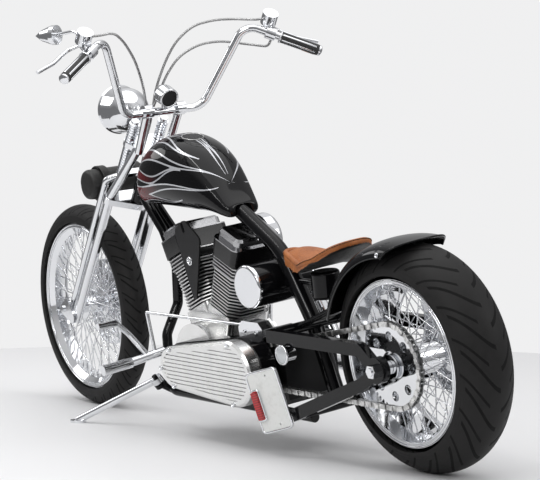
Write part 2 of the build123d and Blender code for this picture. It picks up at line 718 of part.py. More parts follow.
def foot_controls():
    """Forward foot controls: peg and lever on a bracket each side, and the left shift rod."""
    solids = []
    for side in SIDES:
        hanger = rod((1209, side * 90, 262), (1262, side * 200, 238), 14)
        peg = rod((1262, side * 200, 238), (1266, side * 305, 233), 17)
        lever = bent_tube(((1238, side * 150, 252), (1262, side * 196, 330), (1240, side * 250, 378)), 9, 20)
        toe = rod((1240, side * 250, 378), (1240, side * 318, 380), 11)
        control = hanger + peg + lever + toe
        if side > 0:
            control += rod((1227, 128, 254), (1246, 128, 388), 6)
            control += rod((1246, 128, 388), (760, 97, 383), 5)
            control += block(753, 767, 92 + SEAT_GAP, 101, 300, 390)
        solids.append(control - downtube(side, CRADLE_R + SEAT_GAP))
    return solids


def rear_caliper():
    """Rear brake caliper on the right arm, astride its disc."""
    body = block(40, 100, -ARM_IN_Y + SEAT_GAP, -92, REAR_AXLE_Z + 58, REAR_AXLE_Z + 132)
    return body - across(0, REAR_AXLE_Z, -CHAIN_Y - 8, -CHAIN_Y + 8, 146)


def canister():
    """Black canister under the seat."""
    can = Pos(CANISTER[0], 0, CANISTER[1]) * Cylinder(CANISTER_R, 84)
    return fillet(can.edges(), 10)


# Side stand: hinged on the left lower rail, its foot flat on the floor when the machine leans

STAND_PIVOT = (1205.0, 148.0, 176.0)
STAND_FOOT_WORLD = (1448.0, 318.0)
STAND_PIN_R = 8.0
FOOT_R = 26.0
FOOT_THICK = 8.0
FLOOR = Rot(LEAN, 0, 0)


def stand_foot():
    """Place of the foot pad, seen upright."""
    return (FLOOR * Pos(STAND_FOOT_WORLD[0], STAND_FOOT_WORLD[1], FOOT_THICK)).position


def stand_axis():
    """Hinge axis that swings the leg from its stop to lie back along the rail."""
    down = (stand_foot() - Vector(*STAND_PIVOT)).normalized()
    folded = Vector(-0.95, 0.28, -0.10).normalized()
    return down.cross(folded).normalized()


def side_stand():
    """Bent leg with a hinge eye and a flat foot."""
    foot = stand_foot()
    pivot = Vector(*STAND_PIVOT)
    eye = extrude(Plane(origin=pivot - stand_axis() * 9, z_dir=stand_axis()) * Circle(20), 18)
    leg = rod(tuple(pivot), tuple(foot), 12)
    pad = FLOOR * Pos(STAND_FOOT_WORLD[0], STAND_FOOT_WORLD[1], FOOT_THICK / 2) * Cylinder(FOOT_R, FOOT_THICK)
    leg = (leg + eye) & FLOOR * Pos(STAND_FOOT_WORLD[0], STAND_FOOT_WORLD[1], 400) * Box(1200, 1200, 800)
    bore = rod(tuple(pivot - stand_axis() * 40), tuple(pivot + stand_axis() * 40), STAND_PIN_R + RUNNING_GAP)
    return leg + pad - bore


def stand_bracket():
    """Lug and hinge pin for the side stand on the left rail."""
    pivot = Vector(*STAND_PIVOT)
    axis = stand_axis()
    pin = extrude(Plane(origin=pivot - axis * 20, z_dir=axis) * Circle(STAND_PIN_R), 38)
    lug = extrude(Plane(origin=pivot - axis * 26, z_dir=axis) * Circle(20), 12)
    web = rod(tuple(pivot - axis * 20), (pivot.X - 15, RAIL_Y, RAIL_Z), 10)
    return pin + lug + web


# Springer fork, drawn in its own axes (n, y, u)

def rigid_fork():
    """Rear legs with the lower tree, top tree and steering stem."""
    body = Pos(0, 0, (TOP_TREE_U - TREE_THICK / 2) / 2) * Cylinder(STEM_R, TOP_TREE_U + TREE_THICK / 2)
    lower = hull_of(((0, 0, 26), (LEG_N, LEG_Y, 20), (LEG_N, -LEG_Y, 20)))
    body += Pos(0, 0, -TREE_THICK / 2) * extrude(lower, TREE_THICK)
    upper = hull_of(((0, 0, 28), (SPRING_N, SPRING_Y, 20), (SPRING_N, -SPRING_Y, 20)))
    body += Pos(0, 0, TOP_TREE_U - TOP_TREE_THICK / 2) * extrude(upper, TOP_TREE_THICK)
    for side in SIDES:
        leg_y = side * LEG_Y
        run = ((LEG_N, leg_y, LEG_END_U), (LEG_N, leg_y, 6), (LEG_TOP_N, side * LEG_TOP_Y, TOP_TREE_U))
        body += bent_tube(run, LEG_R, 60)
        rod_hole = Cylinder(SPRING_ROD_R + SEAT_GAP, 4 * TOP_TREE_THICK)
        body -= Pos(SPRING_N, side * SPRING_Y, TOP_TREE_U) * rod_hole
    return body


def spring_fork():
    """Slim front legs bent in to a yoke that carries the spring rods."""
    body = Pos(SPRING_N, 0, YOKE_U) * Box(24, 2 * SPRING_Y + 28, YOKE_THICK)
    for side in SIDES:
        leg_y = side * LEG_Y
        run = [(FRONT_LEG_N, leg_y, FRONT_LEG_END_U), (FRONT_LEG_N, leg_y, 44)]
        run += [(SPRING_N, side * SPRING_Y, YOKE_U - 4)]
        body += bent_tube(run, FRONT_LEG_R, 22)
        body += rod((SPRING_N, side * SPRING_Y, YOKE_U), (SPRING_N, side * SPRING_Y, ROD_TOP_U), SPRING_ROD_R)
        body += Pos(SPRING_N, side * SPRING_Y, ROD_TOP_U) * Cylinder(13, 10)
    return body


def fork_springs():
    """Main springs under the top tree and rebound springs over it, turn by turn."""
    springs = []
    tree_low, tree_high = TOP_TREE_U - TOP_TREE_THICK / 2, TOP_TREE_U + TOP_TREE_THICK / 2
    spans = ((YOKE_U + YOKE_THICK / 2, tree_low), (tree_high, ROD_TOP_U - 5))
    pitch = 10.0
    for side in SIDES:
        for low, high in spans:
            turns = round((high - low) / pitch)
            step = (high - low - 2 * SEAT_GAP) / turns
            base = low + SEAT_GAP
            coil = Pos(0, 0, base) * extrude(RegularPolygon(SPRING_R - 5, 10), turns * step)
            for k in range(turns):
                coil += Pos(0, 0, base + (k + 0.2) * step) * extrude(RegularPolygon(SPRING_R, 10), step * 0.6)
            coil -= Pos(0, 0, (low + high) / 2) * Cylinder(SPRING_ROD_R + SEAT_GAP, high - low)
            springs.append(Pos(SPRING_N, side * SPRING_Y, 0) * coil)
    return springs


def front_axle():
    """Axle held between two rockers that join the front and rear legs."""
    pivots = [(LEG_N, LEG_END_U + 16, 19), (FRONT_LEG_N, FRONT_LEG_END_U + 12, 15), (AXLE_N, AXLE_U, 20)]
    outline = hull_of(pivots)
    inner = LEG_Y + LEG_R + SEAT_GAP
    body = across(AXLE_N, AXLE_U, -inner - 16, inner + 16, FRONT_AXLE_R)
    for side in SIDES:
        low, high = sorted((side * inner, side * (inner + 10)))
        body += side_plate(outline, low, high)
        low, high = sorted((side * 71.0, side * inner))
        body += across(AXLE_N, AXLE_U, low, high, 17)
    return body


BAR_POINTS = (
    # n, y, u of the left half, from the lower bend out to the grip
    (BAR_N, 141, BAR_U),
    (55, 251, 648),
    (-86, 441, 632),
)
GRIP_START = 118.0


def bar_path():
    """The corner points of the whole handlebar, right to left."""
    return [(n, -y, u) for n, y, u in reversed(BAR_POINTS)] + list(BAR_POINTS)


def handlebar():
    """High handlebar in two risers."""
    body = bent_tube(bar_path(), BAR_R, BAR_BEND)
    foot = TOP_TREE_U + TOP_TREE_THICK / 2 + SEAT_GAP
    for side in SIDES:
        body += rod((0, side * (RISER_Y - 6), foot - 4), (BAR_N, side * RISER_Y, BAR_U), 13)
        body += Pos(BAR_N, side * RISER_Y, BAR_U + 5) * Rot(90, 0, 0) * Cylinder(21, 30)
    return body - block(-60, 60, -100, 100, foot - 20, foot)


def grip_line(side):
    """Corner and outer end of one grip."""
    (n0, y0, u0), (n1, y1, u1) = BAR_POINTS[1:]
    return (n0, side * y0, u0), (n1, side * y1, u1)


def grips():
    """Two grips with domed ends, slid over the bar."""
    solids = []
    for side in SIDES:
        corner, end = grip_line(side)
        length = (Vector(*end) - Vector(*corner)).length
        start = along(corner, end, GRIP_START)
        tip = along(corner, end, length + 14)
        grip = rod(tuple(start), tuple(tip), GRIP_R)
        bore_end = along(corner, end, length + SEAT_GAP)
        grip -= rod(tuple(along(corner, end, GRIP_START - 1)), tuple(bore_end), BAR_R + SEAT_GAP)
        solids.append(fillet(grip.edges().filter_by(GeomType.CIRCLE).sort_by_distance(tip)[0], 8))
    return solids


CUP_R = 25.0
CUP_HEIGHT = 40.0
LEVER_R = 6.0
LEVER_POINTS = (
    # n, y, u from the middle of the clamp, out to the lever's end
    (52, 50, -26),
    (12, 110, -36),
    (-18, 178, -40),
)
MIRROR_BASE = (115.0, 380.0, 634.0)
MIRROR_R = 30.0
MIRROR_LENGTH = 80.0
MIRROR_HOLE_R = 5.0
MIRROR_HOLE_DEPTH = 18.0


def cup_centre(side):
    """Middle of one fluid reservoir."""
    middle = along(*grip_line(side), GRIP_START - 30)
    return Vector(middle.X + 40, middle.Y + side * 8, middle.Z + 30)


def mirror_level(side):
    """Direction in which a mirror's stem leaves its reservoir."""
    base, cup = Vector(*MIRROR_BASE), cup_centre(1)
    left = Vector(base.X - cup.X, base.Y - cup.Y, 0).normalized()
    return Vector(left.X, side * left.Y, 0)


def bar_controls():
    """Master cylinder with a round reservoir and a curved lever on each side."""
    solids = []
    for side in SIDES:
        corner, end = grip_line(side)
        start = along(corner, end, GRIP_START - 46)
        stop = along(corner, end, GRIP_START - 14)
        middle = along(corner, end, GRIP_START - 30)
        root = (middle.X + 40, middle.Y + side * 8, middle.Z + 6)
        clamp = rod(tuple(start), tuple(stop), 20) + rod(tuple(middle), root, 15)
        run = [root]
        run += [(middle.X + n, middle.Y + side * y, middle.Z + u) for n, y, u in LEVER_POINTS]
        lever = bent_tube(run, LEVER_R, 34)
        cup = Pos(*cup_centre(side)) * Cylinder(CUP_R, CUP_HEIGHT)
        if side < 0:
            mouth = cup_centre(side) + mirror_level(side) * CUP_R
            cup -= rod(tuple(mouth - mirror_level(side) * MIRROR_HOLE_DEPTH), tuple(mouth), MIRROR_HOLE_R)
        solids.append(clamp + lever + cup - rod(tuple(corner), tuple(end), BAR_R + SEAT_GAP))
    return solids


def mirror_head():
    """Teardrop mirror on a stem from the left reservoir."""
    base = Vector(*MIRROR_BASE)
    cup = cup_centre(1)
    level = mirror_level(1)
    root = cup + level * (CUP_R + SEAT_GAP)
    axis = (base - root).normalized()
    stem = bent_tube((tuple(root), tuple(root + level * 16), tuple(base + axis * 4)), 5, 14)
    outline = ((0, 0), (0, MIRROR_R), (16, MIRROR_R), (54, 17), (MIRROR_LENGTH, 0))
    profile = make_face(Polyline(*outline, close=True))
    head = Plane(origin=base, x_dir=axis, z_dir=axis.cross(Vector(0, 0, 1))) * revolve(profile, axis=Axis.X)
    return stem + head


HEADLAMP = Pos(1444, 0, 1013)
LAMP_MOUTH = 60.0


def headlamp():
    """Bright bowl headlamp on a bracket from the top tree."""
    back = ThreePointArc((-78, 0), (-52, 50), (0, 71))
    front = Polyline((0, 71), (44, 76), (52, 80), (LAMP_MOUTH, 76), (LAMP_MOUTH, 0), (-78, 0))
    bowl = HEADLAMP * revolve(make_face(back + front), axis=Axis.X)
    face = neck_point(TOP_TREE_U, SPRING_N + 20 + SEAT_GAP)
    return bowl + rod(face, neck_point(TOP_TREE_U, 165), 11)


LENS_R = 72.0
LENS_RISE = 14.0


def headlamp_lens():
    """Domed lens in the headlamp's mouth."""
    dome_r = (LENS_R ** 2 + LENS_RISE ** 2) / (2 * LENS_RISE)
    half = asin(LENS_R / dome_r) / 2
    edge = LAMP_MOUTH + 4
    crown = edge + LENS_RISE
    middle = (crown - dome_r + dome_r * cos(half), dome_r * sin(half))
    back = LAMP_MOUTH + SEAT_GAP
    rim_line = Polyline((crown, 0), (back, 0), (back, LENS_R), (edge, LENS_R))
    dome = revolve(make_face(rim_line + ThreePointArc((edge, LENS_R), middle, (crown, 0))), axis=Axis.X)
    return HEADLAMP * dome


def gauge():
    """Small round instrument on a post clamped to the handlebar."""
    profile = make_face(Polyline((-30, 0), (-30, 32), (6, 32), (30, 22), (40, 0), close=True))
    bar_x, _, bar_z = neck_point(BAR_U, BAR_N)
    body = Pos(bar_x - 18, 0, bar_z + 52) * Rot(0, -20, 0) * revolve(profile, axis=Axis.X)
    body += rod((bar_x, 0, bar_z), (bar_x - 14, 0, bar_z + 40), 7)
    return body - across(bar_x, bar_z, -60, 60, BAR_R + SEAT_GAP)


def tool_roll():
    """Leather roll strapped across the front legs."""
    radius = 54.0
    roll = Pos(FRONT_LEG_N + FRONT_LEG_R + SEAT_GAP + radius, 0, -28) * Rot(90, 0, 0) * Cylinder(radius, 240)
    return fillet(roll.edges(), 14)


def front_caliper():
    """Front brake caliper on the right rear leg, astride its disc."""
    body = block(8, 62, -LEG_Y + LEG_R + SEAT_GAP, -46, -466, -372)
    return body - across(AXLE_N, AXLE_U, -68, -52, 152)


def cable(points, radius):
    """A cable along straight runs joined by bends as large as the runs allow."""
    radii = []
    for a, b, c in zip(points, points[1:], points[2:]):
        a, b, c = Vector(*a), Vector(*b), Vector(*c)
        turn = radians((b - a).get_angle(c - b))
        radii.append(0.45 * min((b - a).length, (c - b).length) * cos(turn / 2) / sin(turn / 2))
    path = FilletPolyline(*points, radius=radii)
    return sweep(Plane(origin=path @ 0, z_dir=path % 0) * Circle(radius), path=path)


CABLE_R = 4.0
CUP_OUT = CUP_R + SEAT_GAP
CABLE_END_U = TOP_TREE_U + TOP_TREE_THICK / 2 + SEAT_GAP
left_cup, right_cup = cup_centre(1), cup_centre(-1)
CLUTCH_LINE = (
    (left_cup.X, left_cup.Y - CUP_OUT, left_cup.Z), (left_cup.X, left_cup.Y - 50, left_cup.Z), (26, 240, 692),
    (18, 200, 656), (30, 137, 573), (38, 82, 471), (42, 50, 396), (35, 28, 300), (35, 28, CABLE_END_U),
)
BRAKE_LINE = (
    (right_cup.X, right_cup.Y + CUP_OUT, right_cup.Z), (right_cup.X, right_cup.Y + 52, right_cup.Z),
    (98, -230, 640), (101, -168, 641), (101, -92, 628), (101, -45, 572), (98, -24, 500), (88, -8, 400),
    (72, -12, 280), (72, -12, CABLE_END_U),
)
throttle_end = along(*grip_line(-1), GRIP_START - 24)
THROTTLE_CABLE = (
    (throttle_end.X, throttle_end.Y, throttle_end.Z - 20 - SEAT_GAP),
    (throttle_end.X + 4, throttle_end.Y, throttle_end.Z - 52),
    (70, -278, 558), (86, -200, 566), (85, -120, 562), (83, -56, 522), (80, -28, 450), (78, -20, 390),
    (66, 6, 290),
    (66, 6, CABLE_END_U),
)


def build():
    """Every node, upright and steered straight, by the body that carries it."""
    oil_body, oil_caps = oil_tank()
    frame_nodes = {
        "main_frame": main_frame() + stand_bracket(),
        "rear_triangle": rear_triangle(),
        "rear_axle": rear_axle(),
        "fuel_tank": fuel_tank(),
        "seat": seat(),
        "canister": canister(),
        "rear_fender": rear_fender(),
        "oil_tank": oil_body,
        "oil_tank_caps": oil_caps,
        "crankcase": crankcase(),
        "cylinders": cylinders(),
        "cylinder_heads": cylinder_heads(),
        "cam_cover": cam_cover(),
        "air_cleaner": air_cleaner(),
        "exhaust": exhaust(),
        "coil_cover": coil_cover(),
        "primary_case": primary_case(),
        "primary_cover": primary_cover(),
        "starter_cover": starter_cover(),
        "transmission": transmission(),
        "drive_chain": drive_chain(),
        "number_plate": number_plate(),
        "tail_lamp": tail_lamp(),
        "side_lamp": side_lamp(),
        "foot_controls": foot_controls(),
        "rear_caliper": rear_caliper(),
    }
    in_fork_axes = {
        "rigid_fork": rigid_fork(),
        "spring_fork": spring_fork(),
        "fork_springs": fork_springs(),
        "front_axle": front_axle(),
        "handlebar": handlebar(),
        "grips": grips(),
        "bar_controls": bar_controls(),
        "mirror": mirror_head(),
        "tool_roll": tool_roll(),
        "front_caliper": front_caliper(),
        "clutch_line": cable(CLUTCH_LINE, CABLE_R),
        "throttle_cable": cable(THROTTLE_CABLE, CABLE_R),
        "brake_line": cable(BRAKE_LINE, CABLE_R),
    }
    fork_nodes = {name: placed(shape, FORK) for name, shape in in_fork_axes.items()}
    fork_nodes.update({"headlamp": headlamp(), "headlamp_lens": headlamp_lens(), "gauge": gauge()})
    wheel_front = {name: placed(shape, FRONT_WHEEL) for name, shape in front_wheel().items()}
    wheel_rear = {name: placed(shape, REAR_WHEEL) for name, shape in rear_wheel().items()}
    return frame_nodes, fork_nodes, wheel_front, wheel_rear, {"side_stand": side_stand()}


def placed(shape, location):
    """A shape, or a list of shapes, moved to a location."""
    if isinstance(shape, (list, ShapeList)):
        return [location * item for item in shape]
    return location * shape


frame_nodes, fork_nodes, wheel_front, wheel_rear, stand_nodes = build()

# The fork turns about its stem to the rest angle, then everything leans onto the stand
STEERED = FORK * Rot(0, 0, REST_STEER) * FORK.inverse()
LEANED = Rot(-LEAN, 0, 0)
posed = {}
UNTURNED = Location()
groups = ((frame_nodes, UNTURNED), (fork_nodes, STEERED), (wheel_front, STEERED))
groups += ((wheel_rear, UNTURNED), (stand_nodes, UNTURNED))
for group, turn in groups:
    for name, shape in group.items():
        solids = shape if isinstance(shape, (list, ShapeList)) else [shape]
        posed[name] = Compound(children=[LEANED * turn * item for solid in solids for item in solid.solids()])

# Origin at the middle of the whole box, on the floor
boxes = [shape.bounding_box() for shape in posed.values()]
CENTRE_X = (min(b.min.X for b in boxes) + max(b.max.X for b in boxes)) / 2
CENTRE_Y = (min(b.min.Y for b in boxes) + max(b.max.Y for b in boxes)) / 2
FLOOR_Z = min(b.min.Z for b in boxes)
TO_ORIGIN = Pos(-CENTRE_X, -CENTRE_Y, -FLOOR_Z)

os.makedirs("parts", exist_ok=True)
for name, shape in posed.items():
    export_step(TO_ORIGIN * shape, f"parts/{name}.step")
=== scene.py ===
import json
import math
import bpy
from mathutils import Matrix, Vector


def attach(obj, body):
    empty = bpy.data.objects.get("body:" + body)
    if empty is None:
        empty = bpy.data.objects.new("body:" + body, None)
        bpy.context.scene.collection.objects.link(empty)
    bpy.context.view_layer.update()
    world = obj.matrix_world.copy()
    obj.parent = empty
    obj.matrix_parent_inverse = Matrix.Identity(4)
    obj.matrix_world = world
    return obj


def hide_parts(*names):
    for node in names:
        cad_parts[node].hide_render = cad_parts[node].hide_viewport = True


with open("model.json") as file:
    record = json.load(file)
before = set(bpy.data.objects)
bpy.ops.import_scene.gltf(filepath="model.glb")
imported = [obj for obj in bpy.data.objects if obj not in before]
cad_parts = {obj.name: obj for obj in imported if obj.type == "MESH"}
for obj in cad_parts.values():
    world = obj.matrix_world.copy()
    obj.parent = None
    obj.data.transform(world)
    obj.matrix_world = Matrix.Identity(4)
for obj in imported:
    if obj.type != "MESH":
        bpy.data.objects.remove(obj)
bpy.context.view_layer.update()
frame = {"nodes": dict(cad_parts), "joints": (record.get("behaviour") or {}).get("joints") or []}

scene = bpy.context.scene
scene.view_settings.view_transform = "Standard"
nodes = frame["nodes"]

# Chopper on its side stand. Places are in metres. The axes used are those of the leaning frame (X forward
# from the rear axle, Y left, Z up), of the turned fork (N forward of the stem, Y left, U up the stem) and of
# each wheel.
REAR_AXLE_HEIGHT = 0.33306
REAR_TYRE_CROWN, REAR_TYRE_HALF, REAR_BEAD = 0.332, 0.098, 0.2437
FRONT_TYRE_CROWN, FRONT_TYRE_HALF, FRONT_BEAD = 0.341, 0.048, 0.2820
REAR_RIM_RADIUS, REAR_RIM_HALF = 0.2425, 0.085
FRONT_RIM_RADIUS, FRONT_RIM_HALF = 0.2807, 0.036
SIDE_LAMP_X, SIDE_LAMP_Z = 0.424, 0.341
FLOOR_REACH = 2.62


def joint_place(name):
    """Where a joint sits and the way its axis points."""
    joint = next(j for j in frame["joints"] if j["name"] == name)
    return Vector(joint["pos_m"]), Vector(joint["axis"]).normalized()


def axes(origin, x, y, z):
    """A placing matrix from an origin and three directions."""
    turn = Matrix((x, y, z)).transposed().to_4x4()
    return Matrix.Translation(origin) @ turn


rear_axle, left_way = joint_place("rear_axle_spin")
stem, stem_up = joint_place("steering")
front_axle, fork_left = joint_place("front_axle_spin")
forward = Vector((1, 0, 0))
frame_up = forward.cross(left_way)
FRAME = axes(rear_axle - frame_up * REAR_AXLE_HEIGHT, forward, left_way, frame_up)
FORK = axes(stem, fork_left.cross(stem_up), fork_left, stem_up)
REAR_WHEEL = axes(rear_axle, forward, left_way, frame_up)
RAKE = math.radians(36)
stem_upright = Matrix.Translation(FRAME.inverted() @ stem) @ Matrix.Rotation(-RAKE, 4, "Y")
TURNED = FORK @ stem_upright.inverted()
front_ahead = fork_left.cross(Vector((0, 0, 1))).normalized()
FRONT_WHEEL = axes(front_axle, front_ahead, fork_left, front_ahead.cross(fork_left))


# Finishes: sockets take plain arithmetic, and each finish is one node tree

class Wire:
    """One output in a node tree."""

    def __init__(self, shading, socket):
        self.shading = shading
        self.socket = socket

    def maths(self, operation, *values):
        return self.shading.node("ShaderNodeMath", {"operation": operation}, dict(enumerate(values)))

    def __add__(self, other):
        return self.maths("ADD", self, other)

    def __sub__(self, other):
        return self.maths("SUBTRACT", self, other)

    def __mul__(self, other):
        return self.maths("MULTIPLY", self, other)

    def __truediv__(self, other):
        return self.maths("DIVIDE", self, other)

    def __rsub__(self, other):
        return self.maths("SUBTRACT", other, self)

    def __abs__(self):
        return self.maths("ABSOLUTE", self)

    def __lt__(self, other):
        return self.maths("LESS_THAN", self, other)

    def __gt__(self, other):
        return self.maths("GREATER_THAN", self, other)

    __radd__ = __add__
    __rmul__ = __mul__

    def power(self, other):
        return self.maths("POWER", self, other)

    def sine(self):
        return self.maths("SINE", self)

    def angle(self, other):
        """The turn of a point about the origin: this is its rise, the other its run."""
        return self.maths("ARCTAN2", self, other)

    def fraction(self):
        return self.maths("FRACT", self)

    def most(self, other):
        return self.maths("MAXIMUM", self, other)

    def soft_most(self, other, width):
        return self.maths("SMOOTH_MAX", self, other, width)

    def ramp(self, low, high):
        """0 below low, 1 above high, smooth between."""
        inputs = {"Value": self, "From Min": low, "From Max": high}
        return self.shading.node("ShaderNodeMapRange", {"interpolation_type": "SMOOTHSTEP"}, inputs)


class Shading:
    """A node tree whose shader is fed by expressions."""

    def __init__(self, tree, shader):
        self.tree = tree
        self.shader = tree.nodes[shader]

    def node(self, kind, settings, inputs, output=0):
        """One node with its settings, a ramp's stops among them, and the values or wires of its sockets."""
        made = self.tree.nodes.new(kind)
        for key, value in settings.items():
            if key == "stops":
                for stop, (position, colour) in zip(made.color_ramp.elements, value):
                    stop.position = position
                    stop.color = (*colour, 1)
            else:
                setattr(made, key, value)
        for key, value in inputs.items():
            if isinstance(value, Wire):
                self.tree.links.new(value.socket, made.inputs[key])
            else:
                made.inputs[key].default_value = value
        return Wire(self, made.outputs[output])

    def parts(self, vector):
        """The three numbers of a vector."""
        first = self.node("ShaderNodeSeparateXYZ", {}, {"Vector": vector})
        return [Wire(self, socket) for socket in first.socket.node.outputs]

    def blend(self, mask, first, second):
        """Colours or wires of colour, mixed by a mask."""
        first = first if isinstance(first, Wire) else (*first, 1)
        second = second if isinstance(second, Wire) else (*second, 1)
        return self.node("ShaderNodeMix", {"data_type": "RGBA"}, {"Factor": mask, 6: first, 7: second}, 2)

    def feed(self, socket, wire):
        self.tree.links.new(wire.socket, self.shader.inputs[socket])


class Finish(Shading):
    """A material with its main values set on the shader and helpers for what varies."""

    def __init__(self, name, colour, roughness, metallic=0.0, **constants):
        self.material = bpy.data.materials.new(name)
        self.material.use_nodes = True
        super().__init__(self.material.node_tree, "Principled BSDF")
        self.shader.inputs["Base Color"].default_value = (*colour, 1)
        self.shader.inputs["Roughness"].default_value = roughness
        self.shader.inputs["Metallic"].default_value = metallic
        for socket, value in constants.items():
            self.shader.inputs[socket.replace("_", " ")].default_value = value

    def place(self, matrix=None):
        """Object coordinates, or the same seen in a piece's own axes."""
        spot = self.node("ShaderNodeTexCoord", {}, {}, "Object")
        if matrix is None:
            return spot
        inverse = matrix.inverted()
        inputs = {"Vector": spot, "Location": inverse.to_translation(), "Rotation": inverse.to_euler()}
        return self.node("ShaderNodeMapping", {"vector_type": "POINT"}, inputs)

    def noise(self, scale, detail=3.0):
        inputs = {"Vector": self.place(), "Scale": scale, "Detail": detail}
        return self.node("ShaderNodeTexNoise", {}, inputs, "Fac")

    def cells(self, scale):
        return self.node("ShaderNodeTexVoronoi", {}, {"Vector": self.place(), "Scale": scale}, "Distance")

    def bump(self, height, distance, strength=1.0):
        inputs = {"Height": height, "Distance": distance, "Strength": strength}
        self.feed("Normal", self.node("ShaderNodeBump", {}, inputs, "Normal"))


def lacquer(name, colour, roughness=0.06):
    """Deep gloss paint with a faint unevenness in its shine."""
    paint = Finish(name, colour, roughness, 0.0, Specular_IOR_Level=0.24)
    paint.feed("Roughness", paint.noise(30.0) * 0.05 + (roughness - 0.02))
    mottle = paint.noise(6.0)
    paint.feed("Base Color", paint.blend(mottle, colour, [c * 1.5 + 0.001 for c in colour]))
    return paint


def bright_plate(name, colour=(0.82, 0.83, 0.85), roughness=0.05):
    """Chrome with the slight waviness of plating and light smears."""
    chrome = Finish(name, colour, roughness, 1.0)
    chrome.feed("Roughness", chrome.noise(55.0).ramp(0.35, 0.8) * 0.07 + roughness)
    chrome.feed("Base Color", chrome.blend(chrome.noise(9.0), colour, [c * 0.9 for c in colour]))
    chrome.bump(chrome.noise(22.0, 1.0), 0.0004, 0.12)
    return chrome


def cast_alloy(name, colour, roughness):
    """Polished casting with a fine grain."""
    alloy = Finish(name, colour, roughness, 1.0)
    grain = alloy.noise(420.0, 4.0)
    alloy.feed("Roughness", grain * 0.16 + (roughness - 0.06))
    alloy.feed("Base Color", alloy.blend(alloy.noise(14.0), colour, [c * 0.82 for c in colour]))
    alloy.bump(grain, 0.0003, 0.25)
    return alloy


def satin_coat(name, colour, roughness=0.42):
    """Powder-coated metal with orange peel."""
    coat = Finish(name, colour, roughness, 0.0, Specular_IOR_Level=0.28)
    peel = coat.noise(600.0, 2.0)
    coat.feed("Roughness", peel * 0.14 + (roughness - 0.07))
    coat.feed("Base Color", coat.blend(coat.noise(20.0), colour, [c * 1.6 + 0.003 for c in colour]))
    coat.bump(peel, 0.0003, 0.4)
    return coat


def hide(name, colour, dark, roughness=0.5):
    """Leather with pebbled grain and creases, its tone varying at random and painted darker in the hollows
    of the grain as shade.
    """
    leather = Finish(name, colour, roughness, 0.0, Specular_IOR_Level=0.4)
    pebbles = leather.cells(520.0)
    creases = leather.noise(70.0, 6.0)
    # The tone mixes random variation with painted shade in the hollows of the pebbled grain.
    tone = leather.noise(16.0, 4.0) * 0.55 + pebbles * 0.5
    leather.feed("Base Color", leather.blend(tone.ramp(0.2, 0.85), dark, colour))
    leather.feed("Roughness", creases * 0.25 + (roughness - 0.12))
    leather.bump(pebbles * 0.6 + creases * 0.8, 0.0011, 0.55)
    return leather


def soft_rubber(name):
    """Grip and peg rubber."""
    rubber = Finish(name, (0.014, 0.014, 0.014), 0.6)
    speck = rubber.noise(300.0, 3.0)
    rubber.feed("Roughness", speck * 0.2 + 0.5)
    rubber.feed("Base Color", rubber.blend(speck, (0.010, 0.010, 0.010), (0.028, 0.028, 0.028)))
    rubber.bump(speck, 0.0004, 0.4)
    return rubber


def tread_rubber(name, wheel, half, pitches, sweep):
    """Tyre rubber with curved diagonal grooves on both halves of the tread, painted near black inside as
    shade, and ringed side walls.
    """
    rubber = Finish(name, (0.012, 0.012, 0.012), 0.62, 0.0, Specular_IOR_Level=0.22)
    x, y, z = rubber.parts(rubber.place(wheel))
    turn = z.angle(x) * (pitches / (2 * math.pi))
    side = abs(y) / half
    stagger = (y > 0.0) * 0.5
    curve = turn + stagger + sweep * side.power(1.6)
    groove = (abs((curve + 50.0).fraction() - 0.5) < 0.060) * (side > 0.03) * (side < 0.88)
    short = (abs((curve + 50.5 - side * 0.25).fraction() - 0.5) < 0.045) * (side > 0.34) * (side < 0.94)
    cut = groove.most(short)
    radius = (x * x + z * z).power(0.5)
    rings = ((radius * 620.0).sine() * 0.5 + 0.5) * (side > 0.9)
    dust = rubber.noise(40.0, 5.0)
    worn = rubber.blend(dust, (0.007, 0.007, 0.007), (0.019, 0.018, 0.018))
    # The grooves are painted near black over the dusty rubber: painted shade in the grooves.
    rubber.feed("Base Color", rubber.blend(cut, worn, (0.0015, 0.0015, 0.0015)))
    rubber.feed("Roughness", dust * 0.25 + 0.45 + cut * 0.2)
    rubber.bump(1.0 - cut + rings * 0.08 + rubber.noise(500.0) * 0.04, 0.004, 0.9)
    return rubber


# Flame tongues on each side of the tank, from the top line down. Each row: middle at the root and at the
# tip as a turn round the tank, half width at the root, length, height of the wave, start of the wave
TONGUES = (
    (0.22, 0.10, 0.020, 0.40, 0.012, 0.0),
    (0.62, 0.50, 0.022, 0.34, 0.016, 1.6),
    (0.98, 0.86, 0.020, 0.46, 0.014, 3.0),
    (1.36, 1.22, 0.022, 0.30, 0.014, 4.4),
    (1.72, 1.62, 0.020, 0.42, 0.010, 0.8),
    (2.10, 2.00, 0.022, 0.28, 0.010, 2.4),
)
TANK_FRONT = 1.285
TANK_AXIS_HEIGHT = 0.800
TANK_MEAN_RADIUS = 0.112


